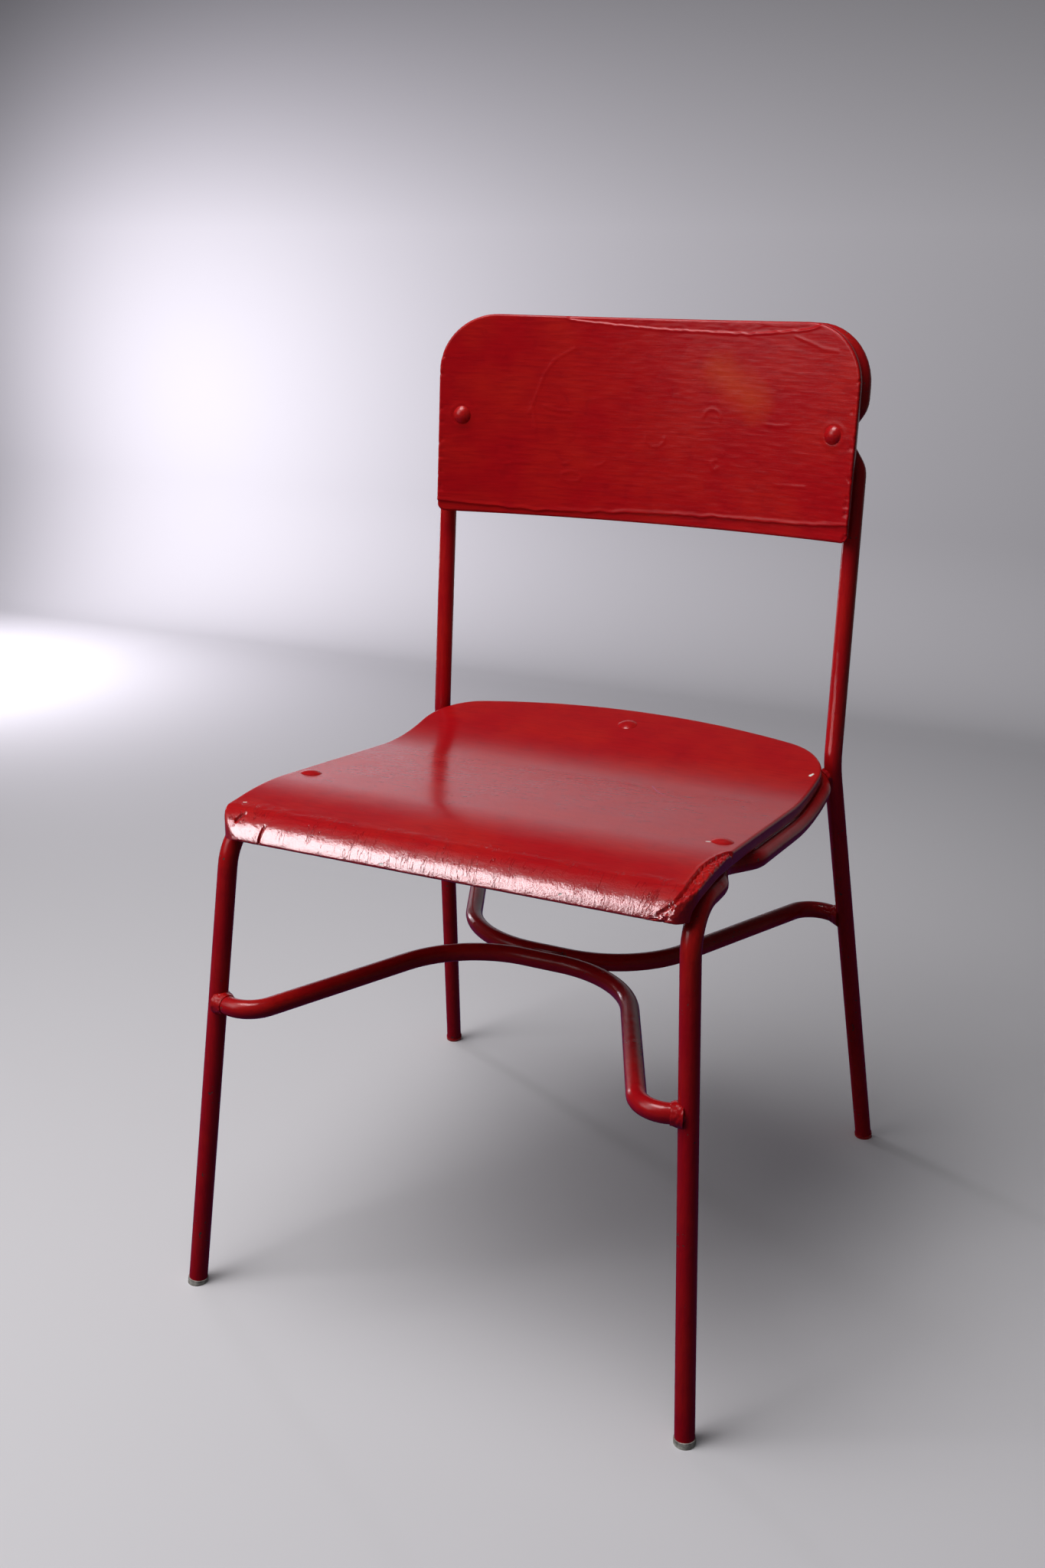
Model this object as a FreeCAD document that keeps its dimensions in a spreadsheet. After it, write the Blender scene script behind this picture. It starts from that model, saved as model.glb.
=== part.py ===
import FreeCAD, Part
import math
import os

import Sketcher
from FreeCAD import Placement, Rotation, Vector

# Chair: two bent steel tube frames, two bowed stretchers, a pressed plywood seat and a curved
# plywood back, riveted through dimples in the tubes.
# Frame: the chair faces -Y, +X is on the right of someone looking at its front, +Z is up.
# The origin is on the floor, in the middle of the chair's overall box.

doc = FreeCAD.newDocument("Chair")

# name, value in millimetres or degrees or a formula on other names, what it is
DRIVING = [
    ("tube_diameter", 16.5, "outside of every frame tube, paint included"),
    ("tube_wall", 1.5, "wall of every frame tube"),
    ("wood_gap", 0.4, "paint between plywood and tube"),
    ("metal_gap", 0.2, "play between metal pieces that touch"),
    ("head_gap", 0.15, "paint between a rivet head and the wood"),
    ("washer_gap", 0.4, "paint between a tube and a washer"),
    # seat
    ("seat_width", 416.0, "across the plywood seat"),
    ("seat_thickness", 13.0, "seat plywood"),
    ("seat_front", -245.0, "front face of the rolled lip"),
    ("seat_rear", 189.0, "rear edge at the middle"),
    ("seat_height", 439.72, "front slope of the seat, carried to the middle of the chair"),
    ("seat_slope", 5.33, "fall of the front slope towards the back"),
    ("seat_rise", 12.85, "rise of the rear slope"),
    ("dish_place", 70.8, "where the two slopes would meet"),
    ("dish_radius", 285.0, "hollow of the seat, on its top face"),
    ("shoulder_behind", 73.0, "from the lip back to where the seat begins to fall to it"),
    ("shoulder_place", "=seat_front + shoulder_behind", "where the seat begins to fall to the lip"),
    ("shoulder_radius", 330.0, "crown of the seat in front of the rivets"),
    ("lip_fall", 5.33, "fall of the seat from the shoulder to the lip"),
    ("lip_radius", 24.0, "roll of the lip, on its top face"),
    ("lip_drop", 13.72, "from seat_height down to the lip's lower edge"),
    ("lip_bottom", "=seat_height - lip_drop", "height of the lip's lower edge"),
    ("rear_arc_radius", 650.0, "rear edge seen from above"),
    ("rear_corner_radius", 58.0, "rear corners of the seat seen from above"),
    ("lip_corner_radius", 22.0, "front corners of the seat seen from above"),
    # front legs and seat rails, one tube
    ("front_foot_out", 26.1, "from the seat's edge out to a front foot"),
    ("front_foot_x", "=seat_width / 2 + front_foot_out", "half the distance between the front feet"),
    ("front_foot_ahead", 20.2, "from the lip forward to the front feet"),
    ("front_foot_y", "=seat_front - front_foot_ahead", "front feet"),
    ("front_knee_in", 4.1, "from the seat's edge in to the top of a front leg"),
    ("front_knee_x", "=seat_width / 2 - front_knee_in", "half width at the top of the front legs"),
    ("front_knee_behind", 4.0, "from the back of the lip to the top of the front legs"),
    ("front_knee_y", "=seat_front + seat_thickness + front_knee_behind", "top of the front legs"),
    ("front_knee_radius", 38.0, "bend from leg to rail"),
    ("front_knee_drop", 1.0, "extra room under the seat's crown"),
    ("knee_flare", 0.8, "how far a rail leans out from the knee to its dimple"),
    ("rail_x", "=seat_width / 2", "half width of the seat rails"),
    ("rail_to_leg", 1.0, "room between a rail's rear bend and the rear leg"),
    ("rail_contact_drop", 4.0, "from a rail's rear end down to where the rear leg is nearest"),
    ("seat_rivet_in", 16.5, "from the seat's edge in to a front seat rivet"),
    ("seat_rivet_x", "=seat_width / 2 - seat_rivet_in", "half the distance between the front seat rivets"),
    ("seat_rivet_behind", 123.0, "from the lip back to the front seat rivets"),
    ("seat_rivet_y", "=seat_front + seat_rivet_behind", "front seat rivets"),
    ("rear_rivet_ahead", 31.0, "from the seat's rear edge forward to the rear rivet"),
    ("rear_rivet_y", "=seat_rear - rear_rivet_ahead", "rear seat rivet"),
    ("dimple_flat", 16.0, "straight bottom of a rail dimple"),
    ("dimple_front", 44.0, "from the front seat rivet forward to where its dimple ends"),
    ("dimple_back", 44.0, "from the front seat rivet back to where its dimple ends"),
    ("dimple_radius", 36.0, "bends of a rail dimple"),
    # rear legs, uprights and top hoop, one tube
    ("rear_foot_out", 41.3, "from the seat's edge out to a rear foot"),
    ("rear_foot_x", "=seat_width / 2 + rear_foot_out", "half the distance between the rear feet"),
    ("rear_foot_behind", 76.0, "from the seat's rear edge back to the rear feet"),
    ("rear_foot_y", "=seat_rear + rear_foot_behind", "rear feet"),
    ("waist_out", 0.4, "from the seat's edge out to the waist"),
    ("waist_x", "=seat_width / 2 + waist_out", "half width where rear leg turns into upright"),
    ("waist_ahead", 31.7, "from the seat's rear edge forward to the waist"),
    ("waist_y", "=seat_rear - waist_ahead", "where rear leg turns into upright"),
    ("waist_rise", 1.28, "from seat_height up to the waist"),
    ("waist_height", "=seat_height + waist_rise", "where rear leg turns into upright"),
    ("waist_radius", 95.0, "bend from rear leg to upright"),
    ("back_lean", 2.63, "lean of uprights and back panel"),
    ("back_rivet_up", 304.1, "from waist to back rivets along the upright"),
    ("back_rivet_in", 17.5, "from the seat's edge in to the bottom of the upright's dimple"),
    ("back_dimple_x", "=seat_width / 2 - back_rivet_in", "half width at the bottom of the dimple"),
    ("upright_in", 1.5, "from the seat's edge in to an upright below its dimple"),
    ("upright_x", "=seat_width / 2 - upright_in", "half width below the dimple"),
    ("hoop_in", 4.5, "from the seat's edge in to the hoop above the dimple"),
    ("hoop_x", "=seat_width / 2 - hoop_in", "half width above the dimple"),
    ("back_dimple_flat", 12.0, "straight bottom of the upright's dimple"),
    ("back_dimple_below", 30.0, "from back rivet down to where the dimple ends"),
    ("back_dimple_above", 26.0, "from back rivet up to where the dimple ends"),
    ("back_dimple_radius", 19.0, "bends of the upright's dimple"),
    ("hoop_up", 392.4, "from waist to the top hoop along the upright"),
    ("hoop_corner_radius", 46.0, "bend from upright to top hoop"),
    ("hoop_ease", 0.98, "bend of the top hoop as a share of the bend that follows the panel"),
    # back panel
    ("panel_width", "=seat_width", "across the back panel"),
    ("panel_thickness", 9.0, "back plywood"),
    ("panel_radius", 620.0, "hollow of the back panel seen from above"),
    ("panel_low", 210.0, "from waist to the panel's lower edge along the upright"),
    ("panel_tall", 190.5, "height of the back panel"),
    ("panel_top_radius", 55.0, "top corners of the back panel"),
    ("panel_bottom_radius", 7.0, "bottom corners of the back panel"),
    # stretchers
    ("stretcher_height", 274.5, "both stretchers"),
    ("stretcher_meet", -27.6, "where the two stretchers touch"),
    ("bow_radius", 100.0, "middle bend of a stretcher"),
    ("bow_lean", 23.4, "arm of a stretcher against the length of the chair"),
    ("bow_corner_in", 124.0, "from the seat's edge in to a stretcher's middle bend"),
    ("bow_corner_x", "=seat_width / 2 - bow_corner_in", "where a stretcher's arm would meet its middle"),
    ("hook_radius", 27.0, "bend beside the leg"),
    ("front_hook_ahead", 9.0, "from the lip forward to the front bend beside the leg"),
    ("front_hook_y", "=seat_front - front_hook_ahead", "front bend beside the leg"),
    ("rear_hook_behind", 21.0, "from the seat's rear edge back to the rear bend beside the leg"),
    ("rear_hook_y", "=seat_rear + rear_hook_behind", "rear bend beside the leg"),
    # rivets and washers
    ("rivet_shank", 6.0, "rivet shank"),
    ("rivet_hole_play", 0.4, "hole less shank"),
    ("seat_head_diameter", 19.0, "rivet heads on the seat"),
    ("seat_head_height", 2.6, "rivet heads on the seat"),
    ("back_head_diameter", 17.0, "rivet heads on the back"),
    ("back_head_height", 4.2, "rivet heads on the back"),
    ("tail_diameter", 9.5, "closed end of a rivet"),
    ("tail_height", 2.4, "closed end of a rivet"),
    ("washer_diameter", 13.0, "washer under the closed end"),
    ("washer_thickness", 1.5, "washer under the closed end"),
    # foot glides
    ("glide_lip", 1.5, "how much wider than the tube a glide's flange is"),
    ("glide_diameter", "=tube_diameter + glide_lip", "flange of a glide"),
    ("glide_flange", 4.6, "flange of a glide, from floor to tube along the leg"),
    ("glide_stem", 15.0, "stem inside the tube"),
    ("glide_taper_in", 1.0, "taper at the top of the stem, inwards"),
    ("glide_taper_up", 2.0, "taper at the top of the stem, along it"),
    ("glide_play", 0.3, "bore less stem"),
    # welds
    ("weld_leg", 3.2, "how far a bead stands out at the leg"),
    ("weld_toe", 0.7, "how far a bead stands out at its toe"),
    ("weld_run", 5.5, "length of a bead along the stretcher"),
    ("middle_weld_length", 30.0, "bead between the two stretchers"),
    ("middle_weld_width", 9.9, "bead between the two stretchers, before they are cut out of it"),
    ("middle_weld_rise", 6.2, "top of the bead above the stretchers' middle"),
    ("middle_weld_sink", 2.6, "bottom of the bead above the stretchers' middle"),
    ("rail_weld_radius", 8.0, "bead between rail and rear leg"),
    ("rail_weld_eye", 2.6, "open middle of that bead"),
]

sheet = doc.addObject("Spreadsheet::Sheet", "Sizes")
for row, (alias, value, note) in enumerate(DRIVING, start=1):
    sheet.set(f"A{row}", note)
    sheet.set(f"B{row}", str(value))
    sheet.setAlias(f"B{row}", alias)
doc.recompute()


def size(alias):
    return float(sheet.get(alias))


def tangent(alias):
    return math.tan(math.radians(size(alias)))


# ---------------------------------------------------------------- shared geometry

TUBE_RADIUS = size("tube_diameter") / 2
BORE_RADIUS = TUBE_RADIUS - size("tube_wall")
SEAT_TO_TUBE = size("seat_thickness") + size("wood_gap") + TUBE_RADIUS
PANEL_TO_TUBE = size("panel_thickness") + size("wood_gap") + TUBE_RADIUS
SIDES = (("left", -1), ("right", 1))
TOOL_MARGIN = 5  # how far a cutting tool runs past each face that it goes through
SAME_PLACE = 1e-6  # two points this near are one


def front_slope(y):
    """Height of the seat's front slope at y."""
    return size("seat_height") - tangent("seat_slope") * y


def rear_slope(y):
    """Height of the seat's rear slope at y."""
    return front_slope(size("dish_place")) + tangent("seat_rise") * (y - size("dish_place"))


def below(y, height, angle, depth):
    """The point square below a seat point, depth under a slope that rises by angle towards the back."""
    tilt = math.radians(angle)
    return y + depth * math.sin(tilt), height - depth * math.cos(tilt)


def seat_point(side, y, slope, angle, x):
    """Placement on the seat's top face with its Z square to the wood."""
    return Placement(Vector(side * x, y, slope(y)), Rotation(Vector(1, 0, 0), angle))


BACK = Placement(
    Vector(0, size("waist_y"), size("waist_height")), Rotation(Vector(1, 0, 0), -size("back_lean"))
)


def on_back(x, behind, up):
    """A point given in the leaning frame of the uprights."""
    return BACK.multVec(Vector(x, behind, up))


# distance from the uprights' plane forward to the middle of the back panel's curve
PANEL_CENTRE = math.sqrt(
    (size("panel_radius") + PANEL_TO_TUBE) ** 2 - size("back_dimple_x") ** 2
)


def leg_axis(foot_x, foot_y, top):
    """Foot point and unit direction of a leg, on the +X side."""
    foot = Vector(foot_x, foot_y, 0)
    return foot, (top - foot).normalize()


RAIL_AT_KNEE = below(
    size("shoulder_place"), front_slope(size("shoulder_place")), -size("seat_slope"), SEAT_TO_TUBE
)[1]
RAIL_AT_KNEE -= size("shoulder_radius") * (1 / math.cos(math.radians(size("seat_slope"))) - 1)
RAIL_AT_KNEE -= size("front_knee_drop")
FRONT_KNEE = Vector(size("front_knee_x"), size("front_knee_y"), RAIL_AT_KNEE)
WAIST = Vector(size("waist_x"), size("waist_y"), size("waist_height"))
FRONT_LEG = leg_axis(size("front_foot_x"), size("front_foot_y"), FRONT_KNEE)
REAR_LEG = leg_axis(size("rear_foot_x"), size("rear_foot_y"), WAIST)


def at_height(leg, height):
    """Point of a leg's axis at a height."""
    foot, along = leg
    return foot + along * (height / along.z)


def mirrored(point):
    return Vector(-point.x, point.y, point.z)


def rounded_route(corners, radii):
    """Wire of straight runs joined by tangent arcs; radii belong to the inner corners."""
    edges = []
    start = corners[0]
    for before, corner, after, radius in zip(corners, corners[1:], corners[2:], radii):
        back = (before - corner).normalize()
        ahead = (after - corner).normalize()
        half_turn = (math.pi - back.getAngle(ahead)) / 2
        setback = radius * math.tan(half_turn)
        arc_start = corner + back * setback
        arc_end = corner + ahead * setback
        bisector = (back + ahead).normalize()
        arc_middle = corner + bisector * (radius / math.cos(half_turn) - radius)
        edges.append(Part.LineSegment(start, arc_start).toShape())
        edges.append(Part.Arc(arc_start, arc_middle, arc_end).toShape())
        start = arc_end
    edges.append(Part.LineSegment(start, corners[-1]).toShape())
    return Part.Wire(edges)


# ---------------------------------------------------------------- features used by several pieces

def add(kind, name, **settings):
    """A document object with its properties; text values become expressions."""
    made = doc.addObject(kind, name)
    for key, value in settings.items():
        if isinstance(value, str):
            made.setExpression(key, value)
        else:
            setattr(made, key, value)
    return made


def facing(direction):
    return Rotation(Vector(0, 0, 1), direction)


def swept_round(name, route, radius_expression):
    """A round bar along a route, its section bound to the sheet."""
    first = route.Shape.Edges[0]
    section = add("Part::Circle", name + "_section", Radius=radius_expression)
    section.Placement = Placement(first.Vertexes[0].Point, facing(first.tangentAt(first.FirstParameter)))
    bar = doc.addObject("Part::Sweep", name)
    bar.Sections = [section]
    bar.Spine = (route, [f"Edge{number}" for number in range(1, len(route.Shape.Edges) + 1)])
    bar.Solid = True
    bar.Frenet = False
    bar.Transition = "Transformed"
    return bar


def bent_tube(node, corners, radii, cutters):
    """A hollow tube along a rounded route, with the cutters taken out of it."""
    route = doc.addObject("Part::Feature", node + "_route")
    route.Shape = rounded_route(corners, radii)
    outside = swept_round(node + "_outside", route, "Sizes.tube_diameter / 2")
    bore = swept_round(node + "_bore", route, "Sizes.tube_diameter / 2 - Sizes.tube_wall")
    tube = add("Part::Cut", node + "_tube", Base=outside, Tool=bore)
    group = add("Part::Compound", node + "_cutters", Links=cutters)
    return named(add("Part::Cut", node + "_finished", Base=tube, Tool=group), node)


NODES = []


def named(piece, node):
    """Give a finished piece its node name."""
    piece.Label = node
    NODES.append(piece)
    return piece


def bore_tool(name, placement, above, length):
    """A cylinder along a rivet's axis that cuts its hole, from above the wood's face downwards."""
    tool = add("Part::Cylinder", name, Radius="(Sizes.rivet_shank + Sizes.rivet_hole_play) / 2")
    tool.Height = length
    tool.Placement = placement.multiply(Placement(Vector(0, 0, above - length), Rotation()))
    return tool


def rod_tool(name, centre, along, radius_expression, length):
    """A cylinder centred on a point, for clearing the way of a round tube."""
    tool = add("Part::Cylinder", name, Radius=radius_expression)
    tool.Height = length
    tool.Placement = Placement(centre - along * (length / 2), facing(along))
    return tool


def origin_plane(body, role):
    return next(feature for feature in body.Origin.OriginFeatures if feature.Role == role)


def plane_sketch(body, name, role):
    sketch = body.newObject("Sketcher::SketchObject", name)
    sketch.AttachmentSupport = [(origin_plane(body, role), "")]
    sketch.MapMode = "FlatFace"
    return sketch


def outline(sketch, points):
    """Closed chain of lines through points (2-D); returns their geometry numbers."""
    corners = [Vector(a, b, 0) for a, b in points]
    lines = [
        sketch.addGeometry(Part.LineSegment(start, end), False)
        for start, end in zip(corners, corners[1:] + corners[:1])
    ]
    for line, following in zip(lines, lines[1:] + lines[:1]):
        sketch.addConstraint(Sketcher.Constraint("Coincident", line, 2, following, 1))
    return lines


def bind(sketch, kind, places, value, label, expression):
    """A driving constraint whose value follows the sheet."""
    number = sketch.addConstraint(Sketcher.Constraint(kind, *places, value))
    sketch.renameConstraint(number, label)
    sketch.setExpression("Constraints." + label, expression)


ORIGIN_POINT = (-1, 1)
HORIZONTAL_AXIS = -1
VERTICAL_AXIS = -2


def pin_x(sketch, geometry, vertex, value, label, expression):
    bind(sketch, "DistanceX", (*ORIGIN_POINT, geometry, vertex), value, label, expression)


def pin_y(sketch, geometry, vertex, value, label, expression):
    bind(sketch, "DistanceY", (*ORIGIN_POINT, geometry, vertex), value, label, expression)


def crown(top, rim):
    """Arc from a point on the axis to a rim, centred on the axis."""
    if abs(top.x) > abs(rim.x):
        top, rim = rim, top
    rise = top.y - rim.y
    radius = (rim.x ** 2 + rise ** 2) / (2 * abs(rise))
    centre = Vector(0, top.y - math.copysign(radius, rise), 0)
    angles = [math.atan2(point.y - centre.y, point.x - centre.x) for point in (top, rim)]
    circle = Part.Circle(centre, Vector(0, 0, 1), radius)
    return Part.ArcOfCircle(circle, min(angles), max(angles))


# ---------------------------------------------------------------- seat

def round_corners(body, base, name, role, corners):
    """Pocket that rounds the corners of a blank, seen square to an origin plane.

    Each corner gives its place, the texts of that place, its outward signs, radius and its text.
    """
    sketch = plane_sketch(body, name + "Sketch", role)
    margin = TOOL_MARGIN
    for number, (place, texts, signs, radius, radius_text) in enumerate(corners):
        (x, y), (x_text, y_text), (sx, sy) = place, texts, signs
        centre = Vector(x - sx * radius, y - sy * radius, 0)
        a = Vector(centre.x, y, 0)
        b = Vector(x, centre.y, 0)
        a_out = Vector(centre.x, y + sy * margin, 0)
        b_out = Vector(x + sx * margin, centre.y, 0)
        far = Vector(x + sx * margin, y + sy * margin, 0)
        chain = [(a, a_out), (a_out, far), (far, b_out), (b_out, b)]
        lines = [sketch.addGeometry(Part.LineSegment(*ends), False) for ends in chain]
        angles = sorted(((0 if sx > 0 else math.pi), sy * math.pi / 2 % (2 * math.pi)))
        if angles[1] - angles[0] > math.pi:
            angles = [angles[1], angles[0] + 2 * math.pi]
        circle = Part.Circle(centre, Vector(0, 0, 1), radius)
        round_arc = Part.ArcOfCircle(circle, *angles)
        arc = sketch.addGeometry(round_arc, False)
        at_a = 1 if round_arc.StartPoint.distanceToPoint(a) < SAME_PLACE else 2
        for one, two in zip(lines, lines[1:]):
            sketch.addConstraint(Sketcher.Constraint("Coincident", one, 2, two, 1))
        sketch.addConstraint(Sketcher.Constraint("Coincident", lines[0], 1, arc, at_a))
        sketch.addConstraint(Sketcher.Constraint("Coincident", lines[3], 2, arc, 3 - at_a))
        for line, kind in zip(lines, ("Vertical", "Horizontal", "Vertical", "Horizontal")):
            sketch.addConstraint(Sketcher.Constraint(kind, line))
        bind(sketch, "Radius", (arc,), radius, f"round{number}", radius_text)
        x_centre = f"{x_text} - {sx} * {radius_text}"
        y_centre = f"{y_text} - {sy} * {radius_text}"
        pin_x(sketch, arc, 3, centre.x, f"centre_x{number}", x_centre)
        pin_y(sketch, arc, 3, centre.y, f"centre_y{number}", y_centre)
        pin_x(sketch, lines[0], 1, a.x, f"end_x{number}", x_centre)
        pin_y(sketch, lines[3], 2, b.y, f"end_y{number}", y_centre)
        pin_x(sketch, lines[1], 2, far.x, f"far_x{number}", f"{x_text} + {sx * margin}")
        pin_y(sketch, lines[1], 2, far.y, f"far_y{number}", f"{y_text} + {sy * margin}")
    return through_pocket(body, base, sketch, name)


LEAST_CUT = 10  # cubic millimetres that a pocket takes at least


def through_pocket(body, base, sketch, name):
    """Pocket right through both ways, refused when it takes nothing away."""
    pocket = body.newObject("PartDesign::Pocket", name)
    pocket.Profile = sketch
    pocket.Type = "ThroughAll"
    pocket.SideType = "Symmetric"
    doc.recompute()
    if pocket.Shape.isNull() or pocket.Shape.Volume > base.Shape.Volume - LEAST_CUT:
        raise RuntimeError(name + " took nothing away")
    return pocket


BLANK_MARGIN = 15  # how far the seat blank runs past its rear edge before it is cut


def seat_side():
    """Corners of the seat's top in side view before its bends are rounded, from rear to lip."""
    dish = size("dish_place")
    shoulder = size("shoulder_place")
    beyond = size("seat_rear") + BLANK_MARGIN
    lip = size("seat_front")
    crown_height = front_slope(shoulder)
    return [
        (beyond, rear_slope(beyond)),
        (dish, front_slope(dish)),
        (shoulder, crown_height),
        (lip, crown_height - tangent("lip_fall") * (shoulder - lip)),
        (lip, size("lip_bottom")),
    ]


def inner_corners(top, thickness):
    """Inner corners of the same open outline moved inwards by the thickness."""
    lines = []
    for (y1, z1), (y2, z2) in zip(top, top[1:]):
        run, rise = y2 - y1, z2 - z1
        share = thickness / math.hypot(run, rise)
        lines.append(((y1 - rise * share, z1 + run * share), (run, rise)))
    inner = []
    for (p, u), (q, v) in zip(lines, lines[1:]):
        cross = u[0] * v[1] - u[1] * v[0]
        along = ((q[0] - p[0]) * v[1] - (q[1] - p[1]) * v[0]) / cross
        inner.append((p[0] + u[0] * along, p[1] + u[1] * along))
    return inner


def seat_blank(body, top, inner):
    """The seat's side outline with sharp corners, as wide as the seat."""
    thickness = size("seat_thickness")
    lip_inner = (top[-1][0] + thickness, top[-1][1])
    rear_inner = (top[0][0], top[0][1] - thickness / math.cos(math.radians(size("seat_rise"))))
    side = plane_sketch(body, "SeatSide", "YZ_Plane")
    lines = outline(side, top + [lip_inner] + inner[::-1] + [rear_inner])
    rear, front, fall, lip, lip_end, lip_back, fall_under, front_under, rear_under, rear_end = lines
    pairs = ((rear, rear_under), (front, front_under), (fall, fall_under))
    for place, (own, under) in enumerate(pairs):
        side.addConstraint(Sketcher.Constraint("Parallel", own, under))
        bind(side, "Distance", (under, 1, own), thickness, f"thick{place}", "Sizes.seat_thickness")
    for upright in (lip, lip_back, rear_end):
        side.addConstraint(Sketcher.Constraint("Vertical", upright))
    side.addConstraint(Sketcher.Constraint("Horizontal", lip_end))
    bind(side, "Distance", (lip_end, 1, lip_end, 2), thickness, "thick_lip", "Sizes.seat_thickness")
    pin_side(side, (rear, front, fall, lip, lip_end), top)
    pad = body.newObject("PartDesign::Pad", "SeatBlank")
    pad.Profile = side
    pad.setExpression("Length", "Sizes.seat_width")
    pad.SideType = "Symmetric"
    doc.recompute()
    return pad


def pin_side(side, lines, top):
    """Tie the top line of the side outline to the sheet."""
    rear, front, fall, lip, lip_end = lines
    slope_text = "Sizes.seat_height - tan(Sizes.seat_slope * 1 deg) * Sizes."
    rear_text = f"(Sizes.seat_rear + {BLANK_MARGIN} - Sizes.dish_place)"
    lip_text = "(Sizes.shoulder_place - Sizes.seat_front)"
    pin_x(side, rear, 1, top[0][0], "rear_blank", f"Sizes.seat_rear + {BLANK_MARGIN}")
    pin_x(side, front, 1, top[1][0], "dish", "Sizes.dish_place")
    pin_x(side, fall, 1, top[2][0], "shoulder", "Sizes.shoulder_place")
    pin_x(side, lip, 1, top[3][0], "lip_front", "Sizes.seat_front")
    pin_y(
        side, rear, 1, top[0][1], "rear_up",
        f"{slope_text}dish_place + tan(Sizes.seat_rise * 1 deg) * {rear_text}",
    )
    pin_y(side, front, 1, top[1][1], "dish_up", slope_text + "dish_place")
    pin_y(side, fall, 1, top[2][1], "shoulder_up", slope_text + "shoulder_place")
    pin_y(
        side, lip, 1, top[3][1], "lip_up",
        f"{slope_text}shoulder_place - tan(Sizes.lip_fall * 1 deg) * {lip_text}",
    )
    pin_y(side, lip_end, 1, top[4][1], "lip_low", "Sizes.lip_bottom")


def round_seat_bends(body, base, top, inner):
    """Round the corners of the blank where the wood is bent, on both faces."""
    bends = [
        (top[1], "Sizes.dish_radius"),
        (inner[0], "Sizes.dish_radius + Sizes.seat_thickness"),
        (top[2], "Sizes.shoulder_radius"),
        (inner[1], "Sizes.shoulder_radius - Sizes.seat_thickness"),
        (top[3], "Sizes.lip_radius"),
        (inner[2], "Sizes.lip_radius - Sizes.seat_thickness"),
    ]
    for number, ((y, z), radius) in enumerate(bends):
        base = corner_round(body, base, f"SeatBend{number}", radius, lambda edge: crosswise(edge, y, z))
    return base


TRIM_SIDE = 10  # how far the rear trim runs past the seat's sides
TRIM_BEHIND = 30  # how far it runs past the seat's rear edge


def trim_seat_rear(body, base):
    """Cut the blank's rear edge to its arc, seen from above."""
    trim = plane_sketch(body, "SeatRearTrim", "XY_Plane")
    half = size("seat_width") / 2 + TRIM_SIDE
    reach = size("seat_rear") + TRIM_BEHIND
    radius = size("rear_arc_radius")
    centre = Vector(0, size("seat_rear") - radius, 0)
    swing = math.asin(half / radius)
    circle = Part.Circle(centre, Vector(0, 0, 1), radius)
    arc = trim.addGeometry(Part.ArcOfCircle(circle, math.pi / 2 - swing, math.pi / 2 + swing), False)
    edge_y = centre.y + radius * math.cos(swing)
    corners = [Vector(-half, edge_y, 0), Vector(-half, reach, 0), Vector(half, reach, 0),
               Vector(half, edge_y, 0)]
    left, far, right = [
        trim.addGeometry(Part.LineSegment(*ends), False) for ends in zip(corners, corners[1:])
    ]
    for first, second in ((arc, left), (left, far), (far, right), (right, arc)):
        trim.addConstraint(Sketcher.Constraint("Coincident", first, 2, second, 1))
    trim.addConstraint(Sketcher.Constraint("PointOnObject", arc, 3, VERTICAL_AXIS))
    trim.addConstraint(Sketcher.Constraint("Vertical", left))
    trim.addConstraint(Sketcher.Constraint("Vertical", right))
    trim.addConstraint(Sketcher.Constraint("Horizontal", far))
    bind(trim, "Radius", (arc,), radius, "rear_arc", "Sizes.rear_arc_radius")
    pin_y(trim, arc, 3, centre.y, "rear_centre", "Sizes.seat_rear - Sizes.rear_arc_radius")
    pin_x(trim, left, 1, -half, "trim_left", f"-Sizes.seat_width / 2 - {TRIM_SIDE}")
    pin_x(trim, right, 1, half, "trim_right", f"Sizes.seat_width / 2 + {TRIM_SIDE}")
    pin_y(trim, far, 1, reach, "trim_far", f"Sizes.seat_rear + {TRIM_BEHIND}")
    return through_pocket(body, base, trim, "SeatRearEdge")


def build_seat():
    """Bent plywood seat: side outline, bends, rear arc, rounded corners and rivet holes."""
    top = seat_side()
    inner = inner_corners(top, size("seat_thickness"))
    body = doc.addObject("PartDesign::Body", "SeatBody")
    base = round_seat_bends(body, seat_blank(body, top, inner), top, inner)
    base = trim_seat_rear(body, base)
    base = corner_round(body, base, "SeatRearCorners", "Sizes.rear_corner_radius", rear_corner)
    front_corners = [
        (
            (side * size("seat_width") / 2, size("seat_front")),
            (f"{side} * Sizes.seat_width / 2", "Sizes.seat_front"),
            (side, -1),
            size("lip_corner_radius"),
            "Sizes.lip_corner_radius",
        )
        for _, side in SIDES
    ]
    body.Tip = round_corners(body, base, "SeatFrontCorners", "XY_Plane", front_corners)
    holes = [
        bore_tool("SeatHole" + name, place, TOOL_MARGIN, size("seat_thickness") + 2 * TOOL_MARGIN)
        for name, place in SEAT_RIVETS
    ]
    group = add("Part::Compound", "SeatHoles", Links=holes)
    named(add("Part::Cut", "SeatPanel", Base=body, Tool=group), "seat_panel")


def crosswise(edge, y, z):
    """Whether an edge runs across the seat at this place of its side outline."""
    box = edge.BoundBox
    close = math.hypot(box.Center.y - y, box.Center.z - z) < size("seat_thickness") / 4
    return close and box.XLength > size("seat_width") / 2


def rear_corner(edge):
    """Whether an edge is one of the seat's rear corners, through the thickness of the wood."""
    box = edge.BoundBox
    upright = box.XLength < SAME_PLACE and box.DiagonalLength < 2 * size("seat_thickness")
    return upright and box.Center.y > (size("dish_place") + size("seat_rear")) / 2


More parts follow.
